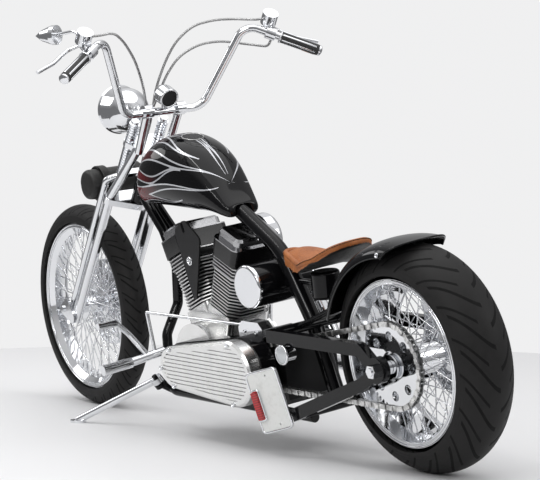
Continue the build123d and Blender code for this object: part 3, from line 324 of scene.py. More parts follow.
def flame_paint():
    """Black tank with outlined flame tongues back from the steering head, dark red at their roots."""
    paint = Finish("tank_paint", (0.006, 0.006, 0.007), 0.06, 0.0, Specular_IOR_Level=0.28)
    x, y, z = paint.parts(paint.place(FRAME))
    back = TANK_FRONT - x
    turn = abs(y).angle(z - TANK_AXIS_HEIGHT)
    flame = None
    for root, tip, half, length, wave, start in TONGUES:
        share = back / length
        middle = root + share * (tip - root)
        sway = (share * 7.0 + start).sine() * (wave / TANK_MEAN_RADIUS)
        off = abs(turn - middle - sway) * TANK_MEAN_RADIUS
        width = (1.0 - share).most(0.0).power(1.25) * half - (share > 1.0) * 0.02
        tongue = width - off
        flame = tongue if flame is None else flame.soft_most(tongue, 0.012)
    outline = 1.0 - abs(flame).ramp(0.0015, 0.0026)
    outline = outline * (back > 0.03)
    inside = flame.ramp(0.0, 0.004)
    root_red = inside * (1.0 - back.ramp(0.04, 0.20))
    flake = paint.noise(900.0, 2.0)
    field = paint.blend(flake, (0.002, 0.002, 0.0025), (0.006, 0.006, 0.007))
    field = paint.blend(root_red * 0.85, field, (0.15, 0.006, 0.010))
    paint.feed("Base Color", paint.blend(outline, field, (0.62, 0.63, 0.66)))
    paint.feed("Roughness", outline * 0.12 + 0.05)
    paint.feed("Metallic", outline * 0.35)
    return paint


CRANK = Vector((0.976, 0.0, 0.256))
FIN_EDGE = 0.0738
HEAD_BASE = 0.2982
HEAD_FIN_START = 0.002
HEAD_FIN_PITCH = 0.011
HEAD_FIN_SHARE = 0.40
ROCKER_BASE = 0.3425
ROCKER_SEAM = 0.3985


def finned_alloy():
    """Black fins with bright edges, silver head fins with painted shade between them, and black rocker boxes
    with bright covers.
    """
    fins = Finish("black_fins", (0.02, 0.02, 0.022), 0.4, 0.6)
    masks = []
    ahead = fins.parts(fins.place(FRAME @ Matrix.Translation(CRANK)))[0]
    for bank in (1, -1):
        bore = FRAME @ Matrix.Translation(CRANK) @ Matrix.Rotation(math.radians(bank * 22.5), 4, "Y")
        x, y, z = fins.parts(fins.place(bore))
        reach = abs(x).most(abs(y)).most((abs(x) + abs(y)) * 0.625)
        own_bank = (ahead * bank > 0.0)
        edge = reach.ramp(FIN_EDGE - 0.0012, FIN_EDGE) * (z < HEAD_BASE) * own_bank
        cast = (z > HEAD_BASE) * own_bank
        cover = (z > ROCKER_SEAM) * own_bank
        pitch = ((z - HEAD_BASE - HEAD_FIN_START) / HEAD_FIN_PITCH).fraction()
        # Between the head fins the colour is painted near black as shade; above them the rocker box is
        # really black.
        painted_gap_shade_and_box = ((pitch > HEAD_FIN_SHARE) * (z < ROCKER_BASE) + (z > ROCKER_BASE)) * (1.0 - cover) * cast
        masks.append((edge, cast, cover, painted_gap_shade_and_box))
    bright, head, rocker, gap_shade_and_black_box = (front.most(rear) for front, rear in zip(*masks))
    grain = fins.noise(260.0, 3.0)
    dark = fins.blend(grain, (0.012, 0.012, 0.013), (0.045, 0.045, 0.048))
    metal = fins.blend(grain, (0.45, 0.45, 0.46), (0.66, 0.66, 0.66))
    metal = fins.blend(rocker, metal, (0.42, 0.42, 0.43))
    # Near black here: painted shade between the head fins, and the real black of the rocker boxes.
    metal = fins.blend(gap_shade_and_black_box, metal, (0.006, 0.006, 0.0065))
    fins.feed("Base Color", fins.blend(head, fins.blend(bright, dark, (0.72, 0.72, 0.72)), metal))
    fins.feed("Metallic", bright.most(head - gap_shade_and_black_box) * 0.9 + 0.1)
    fins.feed("Roughness", grain * 0.1 + 0.33 - rocker * 0.24 - gap_shade_and_black_box * 0.2)
    fins.bump(grain * (1.0 - rocker.most(gap_shade_and_black_box)), 0.0004, 0.3)
    return fins


def links_of_steel(name, colour, roughness):
    """Drawn steel with oily darkening."""
    steel = Finish(name, colour, roughness, 1.0)
    oil = steel.noise(45.0, 4.0)
    steel.feed("Base Color", steel.blend(oil.ramp(0.35, 0.7), colour, [c * 0.45 for c in colour]))
    steel.feed("Roughness", oil * 0.3 + (roughness - 0.1))
    steel.bump(steel.noise(380.0), 0.0003, 0.3)
    return steel


def braid(name):
    """Woven steel sleeve of the lines, painted dark in the dips of the weave as shade between the wires."""
    sleeve = Finish(name, (0.5, 0.5, 0.5), 0.35, 1.0)
    x, y, z = sleeve.parts(sleeve.place())
    weave = ((x + z) * 2600.0).sine() * ((y - z) * 2600.0).sine() * 0.5 + 0.5
    # The dips of the weave are painted dark: painted shade between the wires.
    sleeve.feed("Base Color", sleeve.blend(weave, (0.16, 0.16, 0.16), (0.62, 0.62, 0.62)))
    sleeve.feed("Roughness", weave * 0.2 + 0.25)
    sleeve.bump(weave, 0.0004, 0.5)
    return sleeve


PLATE_MIDDLE = (0.481, 0.217, 0.204)
PLATE_TURN, PLATE_UPRIGHT, PLATE_TILT = math.radians(24), math.radians(90), math.radians(-13)
PLATE_HALF_WIDTH, PLATE_HALF_HEIGHT, PLATE_THICKNESS = 0.0505, 0.0885, 0.006
PLATE = FRAME @ Matrix.Translation(PLATE_MIDDLE) @ Matrix.Rotation(PLATE_TURN, 4, "Z")
PLATE = PLATE @ Matrix.Rotation(PLATE_UPRIGHT, 4, "X") @ Matrix.Rotation(PLATE_TILT, 4, "Z")


def plate_enamel():
    """Blank white plate; its surround and stalk stay bright metal."""
    enamel = Finish("plate_white", (0.8, 0.8, 0.8), 0.3)
    x, y, z = enamel.parts(enamel.place(PLATE))
    sheet = (z < -0.00015) * (z > -PLATE_THICKNESS)
    blank = sheet * (abs(x) < PLATE_HALF_WIDTH) * (abs(y) < PLATE_HALF_HEIGHT)
    grime = enamel.noise(60.0, 5.0)
    white = enamel.blend(grime.ramp(0.45, 0.8) * 0.35, (0.80, 0.81, 0.79), (0.52, 0.52, 0.49))
    enamel.feed("Base Color", enamel.blend(blank, (0.82, 0.83, 0.85), white))
    enamel.feed("Metallic", 1.0 - blank)
    enamel.feed("Roughness", blank * 0.28 + grime * 0.08 + 0.04)
    return enamel


def ruby_lens(name):
    """Red moulded lens with fine prisms, painted in darker and lighter bands of red as shade and highlight.
    """
    lens = Finish(name, (0.42, 0.006, 0.010), 0.12, 0.0, Coat_Weight=0.6)
    along = lens.parts(lens.place(PLATE))[1]
    prisms = (along * 900.0).sine() * 0.5 + 0.5
    # Darker red in the prism troughs and lighter on their crests: painted shade and highlight.
    lens.feed("Base Color", lens.blend(prisms, (0.20, 0.003, 0.006), (0.55, 0.012, 0.016)))
    lens.feed("Roughness", prisms * 0.1 + 0.08)
    lens.bump(prisms, 0.0006, 0.4)
    return lens


def clear_lens(name):
    """Ribbed clear glass."""
    glass = Finish(name, (0.93, 0.95, 0.96), 0.03, 0.0, Transmission_Weight=0.85, IOR=1.45)
    across = glass.parts(glass.place(FRAME))[1]
    flutes = (across * 700.0).sine() * 0.5 + 0.5
    glass.feed("Roughness", glass.noise(50.0) * 0.05 + 0.02)
    glass.bump(flutes, 0.0008, 0.3)
    return glass


def frosted_lens(name):
    """Moulded lens with rings, painted bright as a reflection of the reflector behind it, and in lighter and
    darker bands along the rings as highlight and shade.
    """
    lens = Finish(name, (0.62, 0.64, 0.66), 0.12, 0.35)
    x, _, z = lens.parts(lens.place(FRAME))
    radius = ((x - SIDE_LAMP_X).power(2.0) + (z - SIDE_LAMP_Z).power(2.0)).power(0.5)
    rings = (radius * 1500.0).sine() * 0.5 + 0.5
    # Bright colour stands in for the reflector's reflection; the ring bands are painted highlight and shade.
    lens.feed("Base Color", lens.blend(rings, (0.42, 0.44, 0.46), (0.75, 0.77, 0.78)))
    lens.feed("Roughness", rings * 0.15 + 0.08)
    lens.bump(rings, 0.0006, 0.4)
    return lens


gloss_black = lacquer("gloss_black", (0.003, 0.003, 0.0035))
satin_black = satin_coat("satin_black", (0.007, 0.007, 0.0075))
chrome = bright_plate("chrome")
polished_alloy = cast_alloy("polished_alloy", (0.88, 0.88, 0.87), 0.22)
steel = links_of_steel("steel", (0.76, 0.76, 0.75), 0.24)
braided_line = braid("braided_line")
tan_leather = hide("tan_leather", (0.50, 0.170, 0.046), (0.19, 0.052, 0.013))
black_leather = hide("black_leather", (0.022, 0.021, 0.020), (0.006, 0.006, 0.006), 0.42)
rubber = soft_rubber("rubber")
tank_paint = flame_paint()
black_fins = finned_alloy()
plate_white = plate_enamel()
red_lens = ruby_lens("red_lens")
clear_glass = clear_lens("clear_glass")
lamp_glass = frosted_lens("lamp_glass")
thread = hide("thread", (0.12, 0.045, 0.014), (0.05, 0.016, 0.005), 0.7)
rear_tread = tread_rubber("rear_tread", REAR_WHEEL, REAR_TYRE_HALF, 17.0, 1.35)
front_tread = tread_rubber("front_tread", FRONT_WHEEL, FRONT_TYRE_HALF, 30.0, 0.9)

CAD_FINISHES = {
    gloss_black: "main_frame rear_triangle canister rear_fender oil_tank primary_case",
    satin_black: "coil_cover transmission",
    tank_paint: "fuel_tank",
    black_fins: "cylinders cylinder_heads",
    polished_alloy: "crankcase primary_cover",
    steel: "drive_chain",
    braided_line: "clutch_line throttle_cable brake_line",
    plate_white: "number_plate",
    red_lens: "tail_lamp",
    clear_glass: "headlamp_lens",
    rubber: "grips",
    tan_leather: "seat",
    black_leather: "tool_roll",
    rear_tread: "rear_tyre",
    front_tread: "front_tyre",
    chrome: "rear_axle oil_tank_caps cam_cover air_cleaner exhaust starter_cover side_lamp foot_controls"
            " rear_caliper rigid_fork spring_fork fork_springs front_axle handlebar bar_controls mirror"
            " front_caliper headlamp gauge front_rim front_hub front_spokes rear_rim rear_hub rear_spokes"
            " rear_sprocket side_stand",
}
for finish, names in CAD_FINISHES.items():
    for name in names.split():
        nodes[name].data.materials.clear()
        nodes[name].data.materials.append(finish.material)


# Working steps shared by the new pieces

def clear_selection():
    bpy.ops.object.select_all(action="DESELECT")


def select_only(piece):
    clear_selection()
    piece.select_set(True)
    bpy.context.view_layer.objects.active = piece


def edit(piece, chosen=None):
    """Edit mode on one piece, with the vertices that a test picks."""
    select_only(piece)
    bpy.ops.object.mode_set(mode="EDIT")
    bpy.ops.mesh.select_mode(type="VERT")
    bpy.ops.mesh.select_all(action="DESELECT" if chosen else "SELECT")
    if chosen:
        bpy.ops.object.mode_set(mode="OBJECT")
        for vertex in piece.data.vertices:
            vertex.select = bool(chosen(vertex.co))
        bpy.ops.object.mode_set(mode="EDIT")


def leave_edit():
    bpy.ops.object.mode_set(mode="OBJECT")


def fix_place(piece, matrix=None):
    """Moves a piece to its place and puts that place into its mesh."""
    if matrix is not None:
        piece.matrix_world = matrix @ piece.matrix_world
    select_only(piece)
    bpy.ops.object.transform_apply(location=True, rotation=True, scale=True)


def shape_by(piece, kind, **settings):
    """Adds one modifier and applies it."""
    modifier = piece.modifiers.new(kind.lower(), kind)
    for key, value in settings.items():
        setattr(modifier, key, value)
    select_only(piece)
    bpy.ops.object.modifier_apply(modifier=modifier.name)


def finish_piece(piece, name, body, finish, smooth=35.0):
    """Names a piece, smooths it, gives it its finish and lets it ride on its body."""
    piece.name = name
    select_only(piece)
    bpy.ops.object.shade_smooth_by_angle(angle=math.radians(smooth))
    if not piece.data.materials:
        piece.data.materials.append(finish.material)
    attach(piece, body)
    return piece


def join_copies(model, places, name):
    """One mesh from copies of a model piece, one for each placing matrix."""
    copies = []
    for place in places:
        copy = bpy.data.objects.new(name, model.data.copy())
        copy.data.transform(place)
        scene.collection.objects.link(copy)
        copies.append(copy)
    bpy.data.objects.remove(model)
    clear_selection()
    for copy in copies:
        copy.select_set(True)
    bpy.context.view_layer.objects.active = copies[0]
    if len(copies) > 1:
        bpy.ops.object.join()
    return bpy.context.view_layer.objects.active


def facing(point, normal):
    """A placing matrix whose Z axis is a given normal."""
    turn = Vector(normal).to_track_quat("Z", "Y").to_matrix().to_4x4()
    return Matrix.Translation(point) @ turn


# Tyres: smooth carcasses over the plain rings

def round_tyre(name, node, wheel, crown, half, rim_radius, bead, body, finish):
    """A torus cut open at the rim, its edges turned in to the beads."""
    clear_selection()
    bpy.ops.mesh.primitive_torus_add(
        major_radius=crown - half, minor_radius=half, major_segments=160, minor_segments=64,
        rotation=(math.pi / 2, 0, 0),
    )
    tyre = bpy.context.object
    fix_place(tyre)
    edit(tyre, lambda co: math.hypot(co.x, co.z) < rim_radius)
    bpy.ops.mesh.delete(type="VERT")
    bpy.ops.mesh.select_non_manifold()
    bpy.ops.mesh.extrude_edges_move()
    bpy.ops.transform.resize(value=(1, bead / half, 1), center_override=(0, 0, 0))
    leave_edit()
    fix_place(tyre, wheel)
    finish_piece(tyre, name, body, finish, 60)
    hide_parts(node)


round_tyre(
    "rear_tyre_carcass", "rear_tyre", REAR_WHEEL, REAR_TYRE_CROWN, REAR_TYRE_HALF, REAR_BEAD,
    bead=0.080, body="rear_wheel", finish=rear_tread,
)
round_tyre(
    "front_tyre_carcass", "front_tyre", FRONT_WHEEL, FRONT_TYRE_CROWN, FRONT_TYRE_HALF, FRONT_BEAD,
    bead=0.029, body="front_wheel", finish=front_tread,
)


# Wire spokes: four laced sets in each wheel

SPOKES_PER_SET = 20
SPOKE_STAGGER = 0.0036
SPOKE_RADIUS = 0.0017
NIPPLE_LENGTH, NIPPLE_STEP, NIPPLE_SWELL = 0.015, 0.001, 1.8


def wire_spoke(length):
    """Round wire along Z with a thicker nipple at its outer end."""
    clear_selection()
    middle = (0, 0, length / 2)
    bpy.ops.mesh.primitive_cylinder_add(vertices=8, radius=SPOKE_RADIUS, depth=length, location=middle)
    spoke = bpy.context.object
    fix_place(spoke)
    edit(spoke, lambda co: co.z > length * 0.99)
    bpy.ops.mesh.select_mode(type="FACE")
    bpy.ops.transform.translate(value=(0, 0, -NIPPLE_LENGTH - NIPPLE_STEP))
    bpy.ops.mesh.extrude_region_move(TRANSFORM_OT_translate={"value": (0, 0, NIPPLE_STEP)})
    bpy.ops.transform.resize(value=(NIPPLE_SWELL, NIPPLE_SWELL, 1), center_override=(0, 0, length))
    bpy.ops.mesh.extrude_region_move(TRANSFORM_OT_translate={"value": (0, 0, NIPPLE_LENGTH)})
    leave_edit()
    return spoke


def laced_spokes(name, node, wheel, body, hub_radius, hub_half, rim_radius, rim_half, cross):
    """Left and right sets, leaning ahead and astern, as the wheel is laced."""
    places, length = [], 0.0
    for side in (1, -1):
        for lead in (1, -1):
            offset = lead * SPOKE_STAGGER
            for k in range(SPOKES_PER_SET):
                inner_turn = 2 * math.pi * (k + 0.25 * side) / SPOKES_PER_SET
                outer_turn = inner_turn + lead * math.radians(cross)
                y0, y1 = side * (hub_half + offset), side * (rim_half + offset)
                inner = Vector((hub_radius * math.cos(inner_turn), y0, hub_radius * math.sin(inner_turn)))
                outer = Vector((rim_radius * math.cos(outer_turn), y1, rim_radius * math.sin(outer_turn)))
                length = (outer - inner).length
                places.append(wheel @ facing(inner, outer - inner))
    row = join_copies(wire_spoke(length), places, name)
    finish_piece(row, name, body, chrome, 50)
    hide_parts(node)


laced_spokes(
    "rear_wire_spokes", "rear_spokes", REAR_WHEEL, "rear_wheel",
    hub_radius=0.0646, hub_half=0.062, rim_radius=0.2098, rim_half=0.012, cross=34.0,
)
laced_spokes(
    "front_wire_spokes", "front_spokes", FRONT_WHEEL, "front_wheel",
    hub_radius=0.046, hub_half=0.037, rim_radius=0.2486, rim_half=0.009, cross=32.0,
)


# Skins over CAD solids: the tank with its corners rolled, and the leather swollen by a short cloth run

MERGE_REACH = 0.00005


def ease(piece, times):
    """Evens out a piece's surface."""
    edit(piece)
    bpy.ops.mesh.vertices_smooth(factor=0.5, repeat=times)
    leave_edit()


def even_skin(node, name, voxel, easing):
    """A bare copy of a CAD solid with one even skin, eased a number of times."""
    skin = bpy.data.objects.new(name, nodes[node].data.copy())
    scene.collection.objects.link(skin)
    skin.data.materials.clear()
    edit(skin)
    bpy.ops.mesh.remove_doubles(threshold=MERGE_REACH)
    leave_edit()
    shape_by(skin, "REMESH", mode="VOXEL", voxel_size=voxel)
    ease(skin, easing)
    return skin


def rolled_tank():
    """The lofted tank with its seams and corners round."""
    tank = even_skin("fuel_tank", "rolled_tank", voxel=0.0055, easing=16)
    shape_by(tank, "SUBSURF", levels=1, render_levels=1)
    finish_piece(tank, "rolled_tank", "frame", tank_paint, 80)
    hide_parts("fuel_tank")


def swell(pad, cap):
    """A cloth run under pressure, in which no point moves further than the cap."""
    before = [v.co.copy() for v in pad.data.vertices]
    cloth = pad.modifiers.new("cloth", "CLOTH")
    cloth.settings.use_pressure = True
    cloth.settings.uniform_pressure_force = 4.0
    cloth.settings.effector_weights.gravity = 0.0
    for moment in range(1, 21):
        scene.frame_set(moment)
    shown = pad.evaluated_get(bpy.context.evaluated_depsgraph_get())
    after = [v.co.copy() for v in shown.data.vertices]
    pad.modifiers.remove(cloth)
    scene.frame_set(1)
    for vertex, start, end in zip(pad.data.vertices, before, after):
        move = end - start
        vertex.co = start + (move if move.length <= cap else move.normalized() * cap)
    ease(pad, 2)


def stuffed(node, name, shrink, voxel, cap):
    """A padded form that starts inside its CAD solid and swells against its cover."""
    pad = even_skin(node, name, voxel, easing=6)
    edit(pad)
    bpy.ops.transform.shrink_fatten(value=-shrink)
    leave_edit()
    swell(pad, cap)
    shape_by(pad, "SUBSURF", levels=1, render_levels=1)
    return pad


# Saddle. Its plan is two arcs and their tangents: the place along the frame and the radius of each
SADDLE_NOSE = (0.560, 0.046)
SADDLE_BACK = (0.376, 0.118)
ABOVE_SADDLE = 0.85
SADDLE_RIM_INSET, SADDLE_RIM_RADIUS, SADDLE_RIM_LIFT = 0.012, 0.0085, 0.0005
STITCH_RADIUS, STITCH_LENGTH, STITCH_SEAT = 0.0016, 0.0065, 0.0087


def saddle_outline(inset, steps):
    """Points round the saddle's plan, a distance inside its edge, from the nose round the back."""
    (nose_x, nose_r), (back_x, back_r) = SADDLE_NOSE, SADDLE_BACK
    nose_r -= inset
    back_r -= inset
    lean = math.asin((back_r - nose_r) / (nose_x - back_x))
    points = []
    for k in range(steps):
        turn = -math.pi / 2 + lean + (math.pi - 2 * lean) * k / steps
        points.append((nose_x + nose_r * math.cos(turn), nose_r * math.sin(turn)))
    start = math.pi / 2 - lean
    for k in range(2 * steps):
        turn = start + (math.pi + 2 * lean) * k / (2 * steps - 1)
        points.append((back_x + back_r * math.cos(turn), back_r * math.sin(turn)))
    return points


def on_saddle(x, y, pad):
    """The spot on top of the saddle over a place in plan, and the way it faces."""
    start = FRAME @ Vector((x, y, ABOVE_SADDLE))
    hit, spot, normal, _ = pad.ray_cast(start, -frame_up)
    return (spot, normal) if hit else None


def tube_along(points, radius, name, closed=False):
    """A round bead along a smooth line."""
    curve = bpy.data.curves.new(name, "CURVE")
    curve.dimensions = "3D"
    curve.bevel_depth = radius
    curve.bevel_resolution = 4
    curve.resolution_u = 4
    spline = curve.splines.new("NURBS")
    spline.points.add(len(points) - 1)
    for point, spot in zip(spline.points, points):
        point.co = (*spot, 1)
    spline.order_u = 3
    spline.use_endpoint_u = not closed
    spline.use_cyclic_u = closed
    curve.use_fill_caps = not closed
    bead = bpy.data.objects.new(name, curve)
    scene.collection.objects.link(bead)
    select_only(bead)
    bpy.ops.object.convert(target="MESH")
    return bpy.context.view_layer.objects.active


def saddle_rim(pad):
    """A rolled edge on top of the pad."""
    seats = [on_saddle(x, y, pad) for x, y in saddle_outline(SADDLE_RIM_INSET, 14)]
    line = [spot + normal * SADDLE_RIM_LIFT for spot, normal in filter(None, seats)]
    roll = tube_along(line, SADDLE_RIM_RADIUS, "saddle_rim", closed=True)
    finish_piece(roll, "saddle_rim", "frame", tan_leather, 80)


def stitch():
    """One short thread along Y."""
    clear_selection()
    bpy.ops.mesh.primitive_cylinder_add(
        vertices=8, radius=STITCH_RADIUS, depth=STITCH_LENGTH, rotation=(math.pi / 2, 0, 0),
    )
    short = bpy.context.object
    fix_place(short)
    shape_by(short, "BEVEL", width=0.0006, segments=2)
    return short


def saddle_stitches(pad):
    """A row of stitches on the outer side of the rolled edge."""
    seats = []
    for (x, y), (edge_x, edge_y) in zip(saddle_outline(SADDLE_RIM_INSET, 30), saddle_outline(0.0, 30)):
        found = on_saddle(x, y, pad)
        if found:
            spot, normal = found
            outward = FRAME.to_3x3() @ Vector((edge_x - x, edge_y - y, 0)).normalized()
            face = (outward * 0.8 + normal * 0.6).normalized()
            seats.append((spot + normal * SADDLE_RIM_LIFT + face * STITCH_SEAT, face))
    places = []
    for (spot, face), (following, _) in zip(seats, seats[1:] + seats[:1]):
        ahead = (following - spot).normalized()
        across = ahead.cross(face).normalized()
        places.append(axes(spot, across, ahead, across.cross(ahead)))
    row = join_copies(stitch(), places, "saddle_stitches")
    finish_piece(row, "saddle_stitches", "frame", thread, 60)


def saddle():
    """Tan saddle: padded shell with a dark underside, rolled edge and stitches."""
    pad = stuffed("seat", "saddle_pad", shrink=0.004, voxel=0.005, cap=0.006)
    pad.data.materials.append(tan_leather.material)
    pad.data.materials.append(black_leather.material)
    for face in pad.data.polygons:
        face.material_index = 1 if face.normal.dot(frame_up) < -0.25 else 0
    finish_piece(pad, "saddle_pad", "frame", tan_leather, 80)
    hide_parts("seat")
    saddle_rim(pad)
    saddle_stitches(pad)


ROLL_PLACE = (0.1483, 0.0, -0.028)
ROLL_RADIUS = 0.054
STRAP_OFFSET, STRAP_WIDTH, STRAP_THICKNESS, STRAP_GAP = 0.062, 0.026, 0.003, 0.0012
BUCKLE_SIZE, BUCKLE_LIFT = (0.030, 0.034, 0.004), 0.0055
BUCKLE_WAY = Vector((-0.75, 0, 0.66)).normalized()


def roll_strap(name, home, y):
    """A band of leather round the roll."""
    clear_selection()
    bpy.ops.mesh.primitive_cylinder_add(
        vertices=64, radius=ROLL_RADIUS + STRAP_GAP, depth=STRAP_WIDTH, end_fill_type="NOTHING",
        location=(0, y, 0), rotation=(math.pi / 2, 0, 0),
    )
    strap = bpy.context.object
    fix_place(strap, home)
    shape_by(strap, "SOLIDIFY", thickness=STRAP_THICKNESS, offset=1.0)
    shape_by(strap, "BEVEL", width=0.0008, segments=2)
    finish_piece(strap, name, "fork", black_leather, 40)


def strap_buckle(name, home, y):
    """A bright plate on the strap, sunk in its middle."""
    clear_selection()
    bpy.ops.mesh.primitive_cube_add(size=1, location=(0, 0, 0))
    buckle = bpy.context.object
    buckle.scale = BUCKLE_SIZE
    fix_place(buckle)
    edit(buckle, lambda co: co.z > 0.001)
    bpy.ops.mesh.select_mode(type="FACE")
    bpy.ops.mesh.inset(thickness=0.006, depth=-0.002)
    leave_edit()
    shape_by(buckle, "BEVEL", width=0.0012, segments=3)
    seat = Vector((0, y, 0)) + BUCKLE_WAY * (ROLL_RADIUS + BUCKLE_LIFT)
    fix_place(buckle, home @ facing(seat, BUCKLE_WAY))
    finish_piece(buckle, name, "fork", chrome, 40)


def tool_roll():
    """Black leather roll with two straps and their buckles."""
    pad = stuffed("tool_roll", "tool_roll_leather", shrink=0.004, voxel=0.006, cap=0.005)
    finish_piece(pad, "tool_roll_leather", "fork", black_leather, 80)
    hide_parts("tool_roll")
    home = FORK @ Matrix.Translation(ROLL_PLACE)
    for side, y in (("left", STRAP_OFFSET), ("right", -STRAP_OFFSET)):
        roll_strap(f"tool_roll_{side}_strap", home, y)
        strap_buckle(f"tool_roll_{side}_buckle", home, y)


rolled_tank()
saddle()
tool_roll()


# Small fittings

def bolt_head(radius, height):
    """Domed socket screw, its head up along Z."""
    clear_selection()
    middle = (0, 0, height / 2)
    bpy.ops.mesh.primitive_cylinder_add(vertices=24, radius=radius, depth=height, location=middle)
    bolt = bpy.context.object
    fix_place(bolt)
    shape_by(bolt, "BEVEL", width=radius * 0.22, segments=3, limit_method="ANGLE")
    edit(bolt, lambda co: co.z > height * 0.99)
    bpy.ops.mesh.select_mode(type="FACE")
    bpy.ops.mesh.inset(thickness=radius * 0.28)
    bpy.ops.transform.translate(value=(0, 0, -height * 0.5))
    leave_edit()
    return bolt


def bolts(name, body, home, radius, height, table):
    """Like screws on one body, from a table of places and the ways they face."""
    places = [home @ facing(Vector(spot), way) for spot, way in table]
    row = join_copies(bolt_head(radius, height), places, name)
    finish_piece(row, name, body, chrome, 40)


LEFT = (0, 1, 0)
COVER_FACE = 0.2321
bolts("primary_cover_screws", "frame", FRAME, 0.0075, 0.005, [
    ((x, COVER_FACE, z), LEFT) for x, z in (
        (0.648, 0.358), (0.556, 0.262), (0.652, 0.175), (0.976, 0.313), (1.033, 0.250), (0.972, 0.198),
    )
])
bolts("coil_cover_screw", "frame", FRAME, 0.007, 0.006, [((1.004, 0.0982, 0.564), LEFT)])
bolts("starter_cover_screws", "frame", FRAME, 0.005, 0.004, [
    ((0.630, 0.1348, 0.377), LEFT), ((0.690, 0.1348, 0.377), LEFT),
])


def ring_trim(name, body, home, spot, way, ring_radius, wire_radius, finish):
    """A rolled bead round a lamp, gauge or cap."""
    clear_selection()
    bpy.ops.mesh.primitive_torus_add(
        major_radius=ring_radius, minor_radius=wire_radius, major_segments=56, minor_segments=14,
    )
    ring = bpy.context.object
    fix_place(ring, home @ facing(Vector(spot), way))
    return finish_piece(ring, name, body, finish, 60)


def dished_disc(name, body, home, spot, way, radius, thick, dish, finish):
    """A round face, inset in steps to a shallow dish or dome."""
    clear_selection()
    bpy.ops.mesh.primitive_cylinder_add(vertices=64, radius=radius, depth=thick)
    disc = bpy.context.object
    edit(disc, lambda co: co.z > 0)
    bpy.ops.mesh.select_mode(type="FACE")
    for share in (0.16, 0.22, 0.30):
        bpy.ops.mesh.inset(thickness=radius * share)
        bpy.ops.transform.translate(value=(0, 0, dish / 3))
    leave_edit()
    fix_place(disc, home @ facing(Vector(spot), way))
    return finish_piece(disc, name, body, finish, 50)


ring_trim("coil_cover_ring", "frame", FRAME, (1.004, 0.0990, 0.564), LEFT, 0.0115, 0.0026, chrome)
for wheel, home, rim_radius, rim_half in (
    ("rear", REAR_WHEEL, REAR_RIM_RADIUS, REAR_RIM_HALF),
    ("front", FRONT_WHEEL, FRONT_RIM_RADIUS, FRONT_RIM_HALF),
):
    for side, y in (("left", rim_half), ("right", -rim_half)):
        for bead, drop in (("outer", 0.0042), ("inner", 0.0128)):
            ring_trim(f"{wheel}_rim_{side}_{bead}_bead", f"{wheel}_wheel", home, (0, y, 0), LEFT,
                      rim_radius - drop, 0.0034, chrome)


def rounded_bead(name, middle, half_x, half_y, corner, wire_radius):
    """A bright bead round an upright oblong on the plate."""
    points = []
    for turn_x, turn_y, start in ((1, 1, 0), (-1, 1, 90), (-1, -1, 180), (1, -1, 270)):
        for step in range(5):
            angle = math.radians(start + 22.5 * step)
            points.append(PLATE @ Vector((
                middle[0] + turn_x * (half_x - corner) + corner * math.cos(angle),
                middle[1] + turn_y * (half_y - corner) + corner * math.sin(angle), middle[2],
            )))
    bead = tube_along(points, wire_radius, name, True)
    finish_piece(bead, name, "frame", chrome, 60)


rounded_bead("plate_surround_bead", (0.0, 0.0, -0.0020), 0.0525, 0.0910, 0.012, 0.0042)
rounded_bead("tail_lamp_surround", (0.036, -0.006, -0.0085), 0.0120, 0.0452, 0.006, 0.0042)

FENDER_CROWN = 0.352
FENDER_HALF = 0.113
FENDER_SKIRT = 0.288
FENDER_FRONT = math.radians(19.0)
FENDER_TAIL = math.radians(100.0)
FENDER_TAIL_SWEEP = math.radians(11.0)
FENDER_OVER = math.radians(86.0)
FENDER_SHEET, FENDER_WIRE = 0.003, 0.0035


def fender_point(along, over):
    """A spot on the mudguard: along from front (0) to tail (1), over from right edge (-1) to left (1)."""
    turn = over * FENDER_OVER
    radius = FENDER_SKIRT + (FENDER_CROWN - FENDER_SKIRT) * math.sqrt(math.cos(turn))
    tail = FENDER_TAIL - FENDER_TAIL_SWEEP * over * over
    angle = FENDER_FRONT + (tail - FENDER_FRONT) * along
    return Vector((radius * math.cos(angle), FENDER_HALF * math.sin(turn), radius * math.sin(angle)))


def crowned_fender():
    """Rolled sheet over the rear tyre with a wired edge, its tail rounded."""
    clear_selection()
    bpy.ops.mesh.primitive_grid_add(x_subdivisions=84, y_subdivisions=48, size=1)
    sheet = bpy.context.object
    for vertex in sheet.data.vertices:
        vertex.co = fender_point(vertex.co.x + 0.5, vertex.co.y * 2)
    edit(sheet)
    bpy.ops.mesh.normals_make_consistent(inside=False)
    leave_edit()
    if sheet.data.polygons[0].normal.dot(sheet.data.polygons[0].center) < 0:
        sheet.data.flip_normals()
    shape_by(sheet, "SOLIDIFY", thickness=FENDER_SHEET, offset=-1.0)
    shape_by(sheet, "BEVEL", width=0.001, segments=2, limit_method="ANGLE")
    fix_place(sheet, REAR_WHEEL)
    finish_piece(sheet, "crowned_fender", "frame", gloss_black, 50)
    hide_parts("rear_fender")
    edge = [fender_point(1.0, k / 12) for k in range(-12, 13)]
    wire = tube_along([REAR_WHEEL @ spot for spot in edge], FENDER_WIRE, "fender_tail_wire")
    finish_piece(wire, "fender_tail_wire", "frame", gloss_black, 60)
    corner = fender_point(0.95, 0.93)
    bolts("fender_bolts", "frame", REAR_WHEEL, 0.0075, 0.006, [
        (corner, (0.05, 0.9, 0.3)), ((corner.x, -corner.y, corner.z), (0.05, -0.9, 0.3)),
    ])


crowned_fender()

GRIP_INNER = Vector((0.055, 0.251, 0.648))
GRIP_OUTER = Vector((-0.086, 0.441, 0.632))
GRIP_RADIUS = 0.0175
GRIP_FROM = 0.126
GRIP_TO = 0.238
GRIP_TIP = 0.2512
GRIP_COLLAR = 0.1205


